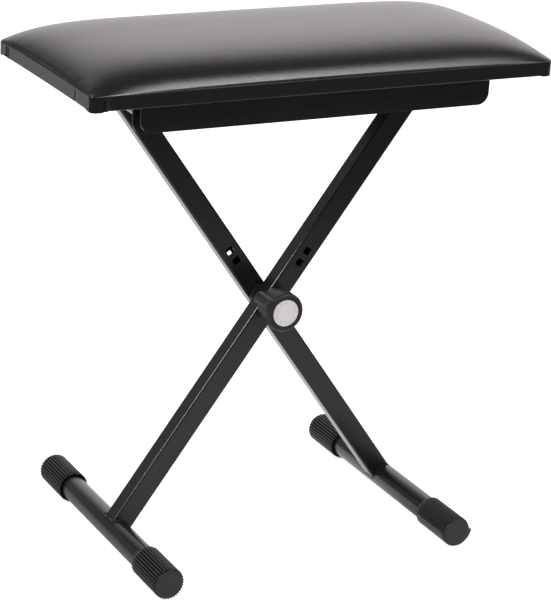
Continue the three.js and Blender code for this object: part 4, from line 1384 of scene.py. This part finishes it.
@dataclass
class TurnedPiece:
    """A piece turned about a line along Y: a profile of radius and Y with its corners eased."""

    name: str
    node: str
    body: Body
    slot: str
    place: tuple[float, float]
    profile: list[tuple[float, float]]
    closed: bool = True
    ease: float = 0.3
    sides: int = 72

    def build(self, shop: Workshop) -> None:
        """Turns the profile, puts it in its place and joins it to its body.

        Args:
            shop: Gives the piece its finish and body.
        """
        outline = eased(np.array(self.profile), self.ease, self.closed)
        points = turned_grid(outline, self.sides) + np.array([self.place[0], 0.0, self.place[1]])
        cells = cells_of(len(outline), self.sides, wrap_rows=self.closed, wrap_cols=True)
        shop.fit(mesh_piece(self.name, points, cells), self.body, self.slot, self.node)


@dataclass
class Hardware:
    """Round tubes, bolts, washers, bushes and plugs of the cross-bars, the feet and the crossing."""

    sizes: BenchSizes
    rail_inner_y: float = 75.7
    rail_wall: float = 1.5
    tube_wall: float = 1.5
    bolt_bore: float = 3.3
    bush_wall: float = 2.2
    bush_ease: float = 0.25
    flange_radius: float = 9.0
    flange: float = 1.2
    washer_radius: float = 8.5
    washer: float = 1.2
    plug_length: float = 14.0
    foot_end_y: float = 139.7
    head_radius: float = 9.5
    head_height: float = 4.5
    head_rim: float = 0.3
    head_power: float = 0.8
    head_points: int = 10
    pivot_radius: float = 4.0
    pivot_reach: float = 18.0
    pivot_ease: float = 0.2
    knob_washer_radius: float = 11.0

    @staticmethod
    def ring(
        name: str, node: str, body: Body, slot: str, place: tuple[float, float],
        radii: tuple[float, float], ends: tuple[float, float],
    ) -> TurnedPiece:
        """A plain ring or tube between two radii and two places along Y.

        Args:
            name: The object's name.
            node: The CAD node that it stands for.
            body: The body that carries it.
            slot: Its finish.
            place: X and Z of its axis.
            radii: Inner and outer radius.
            ends: Lower and upper Y.

        Returns:
            The piece, not yet built.
        """
        (low, high), (start, end) = radii, ends
        profile = [(low, start), (high, start), (high, end), (low, end)]
        return TurnedPiece(name, node, body, slot, place, profile)

    @staticmethod
    def span(side: int, near: float, far: float) -> tuple[float, float]:
        """Two distances from the middle plane as places along Y on one side, the lower one first."""
        low, high = sorted((side * near, side * far))
        return low, high

    def bar_pieces(self, bar: str, body: Body, bush_body: Body, x: float) -> list[TurnedPiece]:
        """A cross-bar with the plug, bush and washer of each end.

        Args:
            bar: The bar's CAD node.
            body: The body that carries the bar, its plugs and its washers.
            bush_body: The body that carries the bushes.
            x: X of the bar's axis.

        Returns:
            The pieces, not yet built.
        """
        gap, place = self.sizes.fit_gap, (x, self.sizes.hinge_z)
        bore, bush, flange = self.bolt_bore, self.bolt_bore + self.bush_wall, self.flange_radius
        outer, inner = self.sizes.bar_radius, self.sizes.bar_radius - self.tube_wall
        step, far = self.rail_inner_y - gap, self.rail_inner_y + self.rail_wall
        near, start = step - self.flange, far + gap
        end = near - gap
        bush_profile = [(bore, near), (flange, near), (flange, step), (bush, step), (bush, far), (bore, far)]
        made = [self.ring(bar + "_pipe", bar, body, "black_paint", place, (inner, outer), (-end, end))]
        for side, name in ((-1, "front"), (1, "rear")):
            made.append(self.ring(
                f"{bar}_end_plug_{name}", f"{bar}_plug_{name}", body, "zinc_steel", place,
                (bore, inner - gap), self.span(side, end - self.plug_length, end),
            ))
            profile = [(radius, side * y) for radius, y in bush_profile]
            made.append(TurnedPiece(
                f"{bar}_flanged_bush_{name}", f"{bar}_bush_{name}", bush_body, "nylon", place,
                profile, ease=self.bush_ease,
            ))
            made.append(self.ring(
                f"{bar}_flat_washer_{name}", f"{bar}_washer_{name}", body, "zinc_steel", place,
                (bore, self.washer_radius), self.span(side, start, start + self.washer),
            ))
        return made

    def pieces(self) -> list[TurnedPiece]:
        """Every turned piece.

        The pivot bolt's domed head has the radius R cos(t)^power and the height H (rim + (1 - rim) sin t),
        with t from 0 to a quarter turn.

        Returns:
            The pieces of the cross-bars, the feet and the crossing, not yet built.
        """
        sizes = self.sizes
        made = self.bar_pieces("hinge_bar", Body.FRONT_LEG, Body.SEAT, sizes.hinge_x)
        made += self.bar_pieces("slide_bar", Body.REAR_LEG, Body.REAR_LEG, sizes.slide_x[0])
        foot, ends = sizes.foot_radius, (-self.foot_end_y, self.foot_end_y)
        for side, leg, body in ((-1, "front_leg", Body.FRONT_LEG), (1, "rear_leg", Body.REAR_LEG)):
            made.append(self.ring(
                leg + "_foot_pipe", leg + "_foot_tube", body, "black_paint",
                (sizes.foot_x(side), sizes.cap_radius), (foot - self.tube_wall, foot), ends,
            ))
        crossing = (float(sizes.pivot[0]), float(sizes.pivot[2]))
        seat, tip = sizes.leg_face + sizes.fit_gap, -sizes.leg_face - self.pivot_reach
        turn = np.linspace(0.0, QUARTER_TURN, self.head_points)
        dome = self.head_radius * np.cos(turn) ** self.head_power
        rise = seat + self.head_height * (self.head_rim + (1 - self.head_rim) * np.sin(turn))
        bolt = [(0.0, tip), (self.pivot_radius, tip), (self.pivot_radius, seat), (self.head_radius, seat)]
        bolt += [(float(radius), float(y)) for radius, y in zip(dome, rise)]
        made.append(TurnedPiece(
            "pivot_round_bolt", "pivot_bolt", Body.REAR_LEG, "zinc_steel", crossing,
            bolt, closed=False, ease=self.pivot_ease,
        ))
        face = -sizes.leg_face - sizes.fit_gap
        made.append(self.ring(
            "knob_flat_washer", "knob_washer", Body.KNOB_WASHER, "zinc_steel", crossing,
            (self.pivot_radius + sizes.fit_gap, self.knob_washer_radius), (face - sizes.knob_washer, face),
        ))
        return made

    def build(self, shop: Workshop) -> None:
        """Makes every turned piece."""
        for piece in self.pieces():
            piece.build(shop)


@dataclass
class FootCap:
    """A rubber cap: closed sleeve with axial ribs from end to end and a flat disc on its closed end.

    Its side is -1 at the front and 1 at the rear; its foot is -1 for the left one and 1 for the right.
    """

    sizes: BenchSizes
    name: str
    node: str
    body: Body
    side: int
    foot: int
    end_y: float = 143.0
    length: float = 53.5
    end_wall: float = 3.0
    ribs: int = 33
    groove: float = 2.45
    disc_inset: float = 1.6
    leveller_ribs: int = 48
    leveller_groove: float = 1.3
    leveller_disc_inset: float = 1.0
    rib_points: int = 14
    crest_share: float = 0.21
    crest_drop: float = 0.25
    edge_ease: float = 0.4
    disc_rise: float = 1.0
    disc_round: float = 0.35
    recess: float = 2.6
    recess_lip: float = 0.9
    middle_rows: tuple[float, ...] = (0.15, 0.35, 0.55, 0.75, 0.9)
    cam: bool = False
    cam_rise: float = 2.8
    cam_drop: float = 0.47
    cam_power: float = 2.8

    @property
    def base_radius(self) -> float:
        """Radius over the ribs."""
        return self.sizes.cap_radius - (self.cam_drop if self.cam else 0.0)

    def outer_radius(self, angle: Array) -> Array:
        """Radius by angle: rounded ribs between deep grooves, or the growing cam over the lower half.

        With p the distance from the rib's middle as a share of the pitch, the cut is drop (p / s)^2 on
        the rib, up to its crest_share s, and goes straight from there to the groove's depth at p = 0.5.
        The cam's radius is base + rise (a / pi)^power, with a the angle past the left side.

        Args:
            angle: Angle of each point round the cap's axis.

        Returns:
            The radius of each point.
        """
        ribs, groove = (self.leveller_ribs, self.leveller_groove) if self.cam else (self.ribs, self.groove)
        phase = np.abs(((angle + QUARTER_TURN) * ribs / FULL_TURN + 0.5) % 1.0 - 0.5)
        crest = self.crest_drop * np.clip(phase / self.crest_share, 0.0, 1.0) ** 2
        beyond = np.clip((phase - self.crest_share) / (0.5 - self.crest_share), 0.0, 1.0)
        ribbed = self.base_radius - (crest + (groove - crest) * beyond)
        if not self.cam:
            return ribbed
        past = np.mod(angle - math.pi, FULL_TURN)
        grown = self.base_radius + self.cam_rise * np.clip(past / math.pi, 0, 1) ** self.cam_power
        return np.where(past < math.pi, grown, ribbed)

    def build(self, shop: Workshop) -> None:
        """Makes the cap: bore, ribbed outside and end disc as one closed profile carried round Y.

        Args:
            shop: Gives the cap its finish and body.
        """
        start, end, ease, turned = self.end_y - self.length, self.end_y, self.edge_ease, self.disc_round
        bore = self.sizes.foot_radius + self.sizes.fit_gap
        count = self.rib_points * (self.leveller_ribs if self.cam else self.ribs)
        angle = np.linspace(-math.pi, math.pi, count, endpoint=False) - QUARTER_TURN
        disc = self.base_radius - (self.leveller_disc_inset if self.cam else self.disc_inset)
        shelf, inner = end - self.disc_rise, end - self.end_wall
        # Each row: how much of the ribbed outside it takes, what is added to that, and its Y.
        rows = np.array([
            (0, 0.0, inner), (0, bore, inner), (0, bore, start + self.recess),
            (0, disc, start + self.recess_lip), (1, -ease, start), (1, 0.0, start + ease),
            *((1, 0.0, start + share * self.length) for share in self.middle_rows),
            (1, 0.0, shelf - ease), (1, -0.1, shelf - 0.12), (1, -0.3, shelf),
            (0, disc, shelf), (0, disc, end - turned), (0, disc - 0.1, end - 0.1), (0, disc - turned, end),
            (0, disc / 2, end), (0, 0.0, end),
        ])
        share, added, y = rows[:, :1], rows[:, 1:2], rows[:, 2:]
        radius = share * self.outer_radius(angle)[None, :] + added
        place = np.array([self.sizes.foot_x(self.foot), 0.0, self.sizes.cap_radius])
        along = self.side * y + 0 * radius
        points = np.stack([radius * np.cos(angle), along, radius * np.sin(angle)], axis=-1) + place
        cells = cells_of(len(rows), len(angle), wrap_cols=True)
        cap = mesh_piece(self.name, points, cells, crease_deg=50.0)
        shop.fit(cap, self.body, "foot_rubber", self.node)


@dataclass
class HandKnob:
    """The knob: a round grip with a rolled front rim, a finger lobe and a narrower hub, and its face disc."""

    sizes: BenchSizes
    radius: float = 19.6
    hub_radius: float = 17.0
    hub_length: float = 11.0
    length: float = 28.0
    lobe_radius: float = 6.3
    lobe_offset: float = 17.6
    lobe_angle: float = math.radians(150)
    lobe_setback: float = 0.7
    lobe_round: float = 1.6
    lobe_spread: float = 0.46
    lobe_lines: int = 120
    lobe_rows: tuple[float, ...] = (-0.02, 0.0, 0.06, 0.2, 0.4, 0.7, 1.1)
    sides: int = 150
    rim_round: float = 3.6
    rim_rows: int = 10
    fillet: float = 1.2
    recess_radius: float = 14.05
    recess_depth: float = 1.4
    bore: float = 4.3
    bore_depth: float = 21.0
    disc_radius: float = 13.5
    disc_sink: float = 0.3
    disc_fall: tuple[float, float] = (13.2, 0.3)
    disc_sides: int = 360
    groove_radius: float = 9.5
    groove_width: float = 0.3
    groove_depth: float = 0.45
    ticks: int = 12
    tick_radii: tuple[float, float] = (10.7, 12.5)
    tick_width: float = 0.62
    tick_depth: float = 0.55

    @property
    def back_y(self) -> float:
        """Y of the knob's back face."""
        return -self.sizes.leg_face - self.sizes.fit_gap - self.sizes.knob_washer - self.sizes.fit_gap

    def profile(self) -> Array:
        """Radius and Y of the round body, from the face's middle over the rim and the hub to the bore.

        Returns:
            One row for each point.
        """
        back, front = self.back_y, self.back_y - self.length
        recess, floor = self.recess_radius, front + self.recess_depth
        face = np.array([(0.0, floor), (recess, floor), (recess, front + 0.2), (recess + 0.2, front)])
        turn = np.linspace(0.0, QUARTER_TURN, self.rim_rows)
        by_lobe = front + self.lobe_setback + np.array([*self.lobe_rows, self.lobe_round])
        y = np.unique(np.concatenate([front + self.rim_round * (1 - np.cos(turn)), by_lobe]))
        into = np.clip(front + self.rim_round - y, 0.0, self.rim_round)
        rim = np.stack([self.radius - self.rim_round + np.sqrt(self.rim_round**2 - into**2), y], axis=-1)
        shoulder, deep = back - self.hub_length, back - self.bore_depth
        rear = np.array([
            (self.radius, front + self.rim_round + 0.4), (self.radius, shoulder - 1.6),
            (self.hub_radius, shoulder + 0.6), (self.hub_radius, back),
            (self.bore, back), (self.bore, deep), (0.0, deep),
        ])
        return np.vstack([face, rim, eased(rear, 1.0, closed=False, steps=6)])

    def grip(self) -> Piece:
        """The grip: rows of the profile carried round Y, with the lobe joined to it by a soft maximum.

        The lobe's radius at an angle f from its middle is d cos f + sqrt(r^2 - d^2 sin^2 f), and r shrinks
        at its front end along a quarter circle. The soft maximum adds (k - |a - b|)^2 / 4k within k.

        Returns:
            The grip.
        """
        back, edge = self.back_y, self.back_y - self.length + self.lobe_setback
        outline = self.profile()
        even = np.linspace(0.0, FULL_TURN, self.sides, endpoint=False)
        close = self.lobe_angle + np.linspace(-self.lobe_spread, self.lobe_spread, self.lobe_lines)
        angle = np.unique(np.round(np.mod(np.concatenate([even, close]), FULL_TURN), 5))
        away = np.abs((angle - self.lobe_angle + math.pi) % FULL_TURN - math.pi)
        plain, y = outline[:, :1] + 0 * angle, outline[:, 1:]
        into = np.clip((y - edge) / self.lobe_round, 0.0, 1.0)
        lobe_radius = self.lobe_radius - self.lobe_round * (1 - np.sqrt(1 - (1 - into) ** 2))
        inside = lobe_radius**2 - (self.lobe_offset * np.sin(away)) ** 2
        lobe = self.lobe_offset * np.cos(away) + np.sqrt(np.maximum(inside, 0.0))
        outside = (outline[:, :1] > self.hub_radius - 1.0) & (y >= edge) & (y < back - 0.3)
        near = outside & (inside > 0) & (away < QUARTER_TURN)
        gap = np.abs(plain - lobe)
        soft = np.maximum(plain, lobe) + np.maximum(self.fillet - gap, 0.0) ** 2 / (4 * self.fillet)
        radius = np.where(near, soft, plain)
        points = np.stack([radius * np.cos(angle), y + 0 * radius, radius * np.sin(angle)], axis=-1)
        cells = cells_of(len(outline), len(angle), wrap_cols=True)
        return mesh_piece("knob_grip", points + self.sizes.pivot, cells, crease_deg=45.0)

    def disc(self) -> Piece:
        """The face disc: a thin turned plate with a shallow ring groove and short plain ticks round its rim.

        The groove is depth exp(-((r - R) / width)^2). A tick sinks the face near each twelfth of a turn,
        between two radii, with eased sides. Near the edge the face falls as the square of the distance.

        Returns:
            The disc.
        """
        front, edge, (fall, fall_width) = self.back_y - self.length, self.disc_radius, self.disc_fall
        by_groove, by_ticks = np.linspace(8.9, 10.2, 6), np.linspace(10.3, 12.9, 14)
        rings = [np.linspace(0.0, 8.6, 8), by_groove, by_ticks, [fall, edge - 0.05, edge]]
        radius = np.concatenate(rings)[:, None]
        angle = np.linspace(0.0, FULL_TURN, self.disc_sides, endpoint=False)
        groove = self.groove_depth * np.exp(-(((radius - self.groove_radius) / self.groove_width) ** 2))
        phase = np.abs((angle * self.ticks / FULL_TURN + 0.5) % 1.0 - 0.5) * (FULL_TURN / self.ticks)
        low, high = self.tick_radii
        between = smooth_step((radius - low) / 0.2) * smooth_step((high - radius) / 0.2)
        tick = smooth_step((self.tick_width - radius * phase) / 0.25) * between
        rounding = self.disc_sink * np.clip((radius - fall) / fall_width, 0, 1) ** 2
        drop = self.disc_sink + groove + self.tick_depth * tick + rounding
        face = np.stack([radius * np.cos(angle), front + drop, radius * np.sin(angle)], axis=-1)
        rear = [(edge, front + 1.0), (edge - 0.2, front + 1.2), (0.0, front + 1.2)]
        points = np.concatenate([face, turned_grid(np.array(rear), len(angle))]) + self.sizes.pivot
        cells = cells_of(len(points), len(angle), wrap_cols=True)
        return mesh_piece("knob_face_disc", points, cells, crease_deg=60.0)

    def build(self, shop: Workshop) -> None:
        """Makes the grip and its disc."""
        shop.fit(self.grip(), Body.KNOB, "knob_plastic", "knob_body")
        shop.fit(self.disc(), Body.KNOB, "grey_plastic", "knob_disc")


@dataclass(frozen=True)
class Softbox:
    """An area lamp: where it stands, what it faces, its size in metres and its power in watts."""

    name: str
    place: tuple[float, float, float]
    target: tuple[float, float, float]
    size: tuple[float, float]
    power: float

    def build(self) -> None:
        """Adds the lamp to the scene."""
        light = bpy.data.lights.new(self.name, "AREA")
        light.shape = "RECTANGLE"
        light.size, light.size_y = self.size
        light.energy = self.power
        lamp = bpy.data.objects.new(self.name, light)
        lamp.location = Vector(self.place)
        lamp.rotation_mode = "QUATERNION"
        lamp.rotation_quaternion = (Vector(self.target) - Vector(self.place)).to_track_quat("-Z", "Y")
        bpy.context.scene.collection.objects.link(lamp)


@dataclass
class Studio:
    """The floor, the lamps and the pale surroundings, in metres."""

    floor_half: float = 3.0
    floor_near: tuple[float, float] = (0.45, 1.15)
    floor_back: tuple[float, float] = (0.16, 0.74)
    floor_least: float = 0.13
    floor_pale: float = 0.75
    floor_glow: float = 0.62
    floor_gloss: float = 0.2
    floor_mirrored: float = 0.62
    floor_back_gloss: float = 0.7
    least_distance: float = 0.01
    ambient: float = 0.62
    sweep_heading: float = math.radians(52)
    sweep_edge: tuple[float, float] = (0.6, 1.14)
    sweep_colour: Colour = (1.0, 0.962, 0.948)
    level_scale: float = 4.0
    sweep_levels: tuple[tuple[float, float], ...] = (
        (0.0, 1.5), (0.16, 1.68), (0.28, 1.7), (0.36, 1.97), (0.46, 2.65),
        (0.53, 3.0), (0.6, 2.4), (0.67, 0.95), (0.76, 0.28), (0.85, 0.14),
    )
    room_levels: tuple[tuple[float, float], ...] = (
        (0.0, 0.12), (0.2, 0.3), (0.4, 0.36), (0.52, 0.1), (0.85, 0.14),
    )
    softboxes: tuple[Softbox, ...] = (
        Softbox("front_softbox", (0.76, -1.3, 2.2), (0.0, -0.11, 0.49), (1.2, 0.82), 36.0),
        Softbox("left_softbox", (-3.27, 0.06, 2.55), (0.0, 0.0, 0.25), (2.0, 0.9), 120.0),
    )

    def world(self) -> None:
        """White to the camera; in reflections a warm white sweep behind, brightest at half the height."""
        world = bpy.data.worlds.new("studio")
        bpy.context.scene.world = world
        world.use_nodes = True
        tree = world.node_tree
        tree.nodes.clear()
        out = tree.nodes.new("ShaderNodeOutputWorld")
        place = tree.nodes.new("ShaderNodeTexCoord").outputs["Generated"]
        split = tree.nodes.new("ShaderNodeSeparateXYZ")
        tree.links.new(place, split.inputs[0])
        x, y, z = split.outputs
        just_over_one = 1.0001
        level = math_node(tree, "SUBTRACT", just_over_one, math_node(tree, "MULTIPLY", z, z))
        across = math_node(tree, "SQRT", level, 0.0)
        heading = math_node(tree, "DIVIDE", self.towards_sweep(tree, x, y), across)
        behind = self.ramp(tree, heading, *self.sweep_edge, interpolation="LINEAR")
        sweep, room = self.levels(tree, z, self.sweep_levels), self.levels(tree, z, self.room_levels)
        gained = math_node(tree, "MULTIPLY", math_node(tree, "SUBTRACT", sweep, room), behind)
        path = tree.nodes.new("ShaderNodeLightPath")
        made = self.shade(tree, self.ambient)
        surroundings = self.shade(tree, math_node(tree, "ADD", room, gained), self.sweep_colour)
        white = self.shade(tree, 1.0)
        for ray, light in (
            ("Is Glossy Ray", surroundings), ("Is Transmission Ray", white), ("Is Camera Ray", white),
        ):
            mix = tree.nodes.new("ShaderNodeMixShader")
            tree.links.new(path.outputs[ray], mix.inputs[0])
            tree.links.new(made, mix.inputs[1])
            tree.links.new(light, mix.inputs[2])
            made = mix.outputs[0]
        tree.links.new(made, out.inputs["Surface"])

    def towards_sweep(self, tree: Tree, x: Socket, y: Socket) -> Socket:
        """How far a place lies towards the bright sweep: x cos h + y sin h, with h the sweep's heading.

        Args:
            tree: The node tree.
            x: The place's X.
            y: The place's Y.

        Returns:
            The distance.
        """
        along_x = math_node(tree, "MULTIPLY", x, math.cos(self.sweep_heading))
        along_y = math_node(tree, "MULTIPLY", y, math.sin(self.sweep_heading))
        return math_node(tree, "ADD", along_x, along_y)

    def levels(self, tree: Tree, height: Socket, steps: tuple[tuple[float, float], ...]) -> Socket:
        """Brightness by height: a ramp that holds each brightness divided by level_scale, to stay under 1.

        Args:
            tree: The world's node tree.
            height: The height, from 0 at the horizon to 1 overhead.
            steps: Pairs of height and brightness.

        Returns:
            The brightness.
        """
        ramp = tree.nodes.new("ShaderNodeValToRGB")
        marks = ramp.color_ramp.elements
        while len(marks) < len(steps):
            marks.new(0.5)
        for mark, (place, level) in zip(marks, steps):
            mark.position = place
            mark.color = (*[level / self.level_scale] * 3, 1.0)
        tree.links.new(height, ramp.inputs[0])
        return math_node(tree, "MULTIPLY", ramp.outputs[0], self.level_scale)

    @staticmethod
    def ramp(tree: Tree, value: Socket, low: float, high: float, interpolation: str = "SMOOTHSTEP") -> Socket:
        """Takes the value from 0 at low to 1 at high.

        Args:
            tree: The node tree.
            value: The socket to map.
            low: Value that gives 0.
            high: Value that gives 1.
            interpolation: Whether the way between is straight or eased.

        Returns:
            The mapped output.
        """
        node = tree.nodes.new("ShaderNodeMapRange")
        node.interpolation_type = interpolation
        node.inputs["From Min"].default_value, node.inputs["From Max"].default_value = low, high
        tree.links.new(value, node.inputs["Value"])
        return node.outputs[0]

    @staticmethod
    def shade(tree: Tree, strength: object, colour: Colour = (1.0, 1.0, 1.0)) -> Socket:
        """A background of this strength, a number or a socket.

        Args:
            tree: The world's node tree.
            strength: Brightness, or the socket that gives it.
            colour: Its colour.

        Returns:
            The background's output.
        """
        node = tree.nodes.new("ShaderNodeBackground")
        node.inputs["Color"].default_value = (*colour, 1.0)
        if isinstance(strength, Socket):
            tree.links.new(strength, node.inputs["Strength"])
        else:
            node.inputs["Strength"].default_value = strength
        return node.outputs[0]

    def floor(self) -> None:
        """A pale floor that glows to the camera by most of its white and keeps the bench's soft shadow."""
        half = self.floor_half / MM
        corners = np.array([[-half, -half, 0.0], [half, -half, 0.0], [half, half, 0.0], [-half, half, 0.0]])
        floor = mesh_piece("studio_floor", corners, np.array([[0, 1, 2, 3]]))
        material = bpy.data.materials.new("studio_floor")
        material.use_nodes = True
        tree = material.node_tree
        tree.nodes.clear()
        out = tree.nodes.new("ShaderNodeOutputMaterial")
        pale, glow = tree.nodes.new("ShaderNodeBsdfDiffuse"), tree.nodes.new("ShaderNodeEmission")
        glow.inputs["Color"].default_value = (1.0, 1.0, 1.0, 1.0)
        path = tree.nodes.new("ShaderNodeLightPath")
        mirrored = path.outputs["Is Glossy Ray"]
        split = tree.nodes.new("ShaderNodeSeparateXYZ")
        tree.links.new(tree.nodes.new("ShaderNodeTexCoord").outputs["Object"], split.inputs[0])
        x, y, _ = split.outputs
        square = math_node(tree, "ADD", math_node(tree, "MULTIPLY", x, x), math_node(tree, "MULTIPLY", y, y))
        root = math_node(tree, "SQRT", square, 0.0)
        distance = math_node(tree, "MAXIMUM", root, self.least_distance)
        away = self.ramp(tree, distance, *self.floor_near)
        heading = math_node(tree, "DIVIDE", self.towards_sweep(tree, x, y), distance)
        behind = self.ramp(tree, heading, *self.floor_back)
        lit = math_node(tree, "MAXIMUM", math_node(tree, "SUBTRACT", 1.0, away), behind)
        near = math_node(tree, "MAXIMUM", lit, self.floor_least)
        kept = math_node(tree, "MULTIPLY", near, self.floor_mirrored)
        lost = math_node(tree, "MULTIPLY", math_node(tree, "SUBTRACT", 1.0, kept), mirrored)
        left = math_node(tree, "SUBTRACT", 1.0, lost)
        tree.links.new(math_node(tree, "MULTIPLY", left, self.floor_pale), pale.inputs["Color"])
        seen = math_node(tree, "MAXIMUM", path.outputs["Is Camera Ray"], path.outputs["Is Transmission Ray"])
        plain = math_node(tree, "MULTIPLY", near, self.floor_gloss)
        added = math_node(tree, "ADD", plain, math_node(tree, "MULTIPLY", behind, self.floor_back_gloss))
        in_gloss = math_node(tree, "MULTIPLY", added, mirrored)
        glowing = math_node(tree, "MULTIPLY", seen, self.floor_glow)
        tree.links.new(math_node(tree, "ADD", glowing, in_gloss), glow.inputs["Strength"])
        both = tree.nodes.new("ShaderNodeAddShader")
        tree.links.new(pale.outputs[0], both.inputs[0])
        tree.links.new(glow.outputs[0], both.inputs[1])
        tree.links.new(both.outputs[0], out.inputs["Surface"])
        floor.data.materials.append(material)

    def build(self) -> None:
        """Lights the bench by a wide softbox in front on the right and a smaller one on the left."""
        self.world()
        self.floor()
        for softbox in self.softboxes:
            softbox.build()


@dataclass
class PhotoCamera:
    """The camera, as fitted to the photo: place in millimetres, angles in degrees, the rest in pixels.

    The sensor's width is millimetres, and the clipping distances are metres.
    """

    place: tuple[float, float, float] = (-1014.067, -1899.217, 1004.423)
    yaw: float = -28.062
    pitch: float = -19.49
    roll: float = 3.078
    focal: float = 2317.481
    centre: tuple[float, float] = (262.729, 289.058)
    frame: tuple[int, int] = (551, 600)
    sensor_width: float = 36.0
    clip: tuple[float, float] = (0.05, 50.0)

    def build(self) -> None:
        """Makes the camera from its three axes and sets it as the scene's."""
        yaw, pitch, roll = (math.radians(angle) for angle in (self.yaw, self.pitch, self.roll))
        ahead = Vector((-math.sin(yaw) * math.cos(pitch), math.cos(yaw) * math.cos(pitch), math.sin(pitch)))
        level = Vector((math.cos(yaw), math.sin(yaw), 0.0))
        upright = level.cross(ahead)
        right = math.cos(roll) * level + math.sin(roll) * upright
        up = -math.sin(roll) * level + math.cos(roll) * upright
        width, height = self.frame
        data = bpy.data.cameras.new("photo_camera")
        data.sensor_width = self.sensor_width
        data.lens = self.focal / height * self.sensor_width
        data.shift_x = (width / 2 - self.centre[0]) / height
        data.shift_y = (self.centre[1] - height / 2) / height
        data.clip_start, data.clip_end = self.clip
        camera = bpy.data.objects.new("photo_camera", data)
        axes = Matrix((right, up, -ahead)).transposed().to_4x4()
        camera.matrix_world = Matrix.Translation(Vector(self.place) * MM) @ axes
        bpy.context.scene.collection.objects.link(camera)
        bpy.context.scene.camera = camera


def main() -> None:
    """Builds the camera, the studio and each sub-assembly in order."""
    logging.basicConfig(level=logging.INFO, format="%(name)s: %(message)s")
    bpy.context.scene.view_settings.view_transform = "Standard"
    PhotoCamera().build()
    Studio().build()
    shop = Workshop()
    shop.dress_frame(frame["record"])
    sizes = BenchSizes()
    SeatCushion(sizes).build(shop)
    Rails(sizes).build(shop)
    for side, bead, lump in ((-1, 0.55, 2.0), (1, 0.3, 0.0)):
        CrossedLeg(sizes, side, weld_radius=bead, weld_lump=lump).build(shop)
    Hardware(sizes).build(shop)
    for name, node, body, side, foot, cam in (
        ("ribbed_cap_left_front", "foot_cap_left_front", Body.FRONT_LEG, -1, -1, False),
        ("ribbed_cap_left_rear", "foot_cap_left_rear", Body.FRONT_LEG, 1, -1, False),
        ("ribbed_cap_right_rear", "foot_cap_right_rear", Body.REAR_LEG, 1, 1, False),
        ("levelling_cam_cap", "levelling_cap", Body.LEVELLING_CAP, -1, 1, True),
    ):
        FootCap(sizes, name, node, body, side, foot, cam=cam).build(shop)
    HandKnob(sizes).build(shop)


if __name__ == "__main__":
    main()
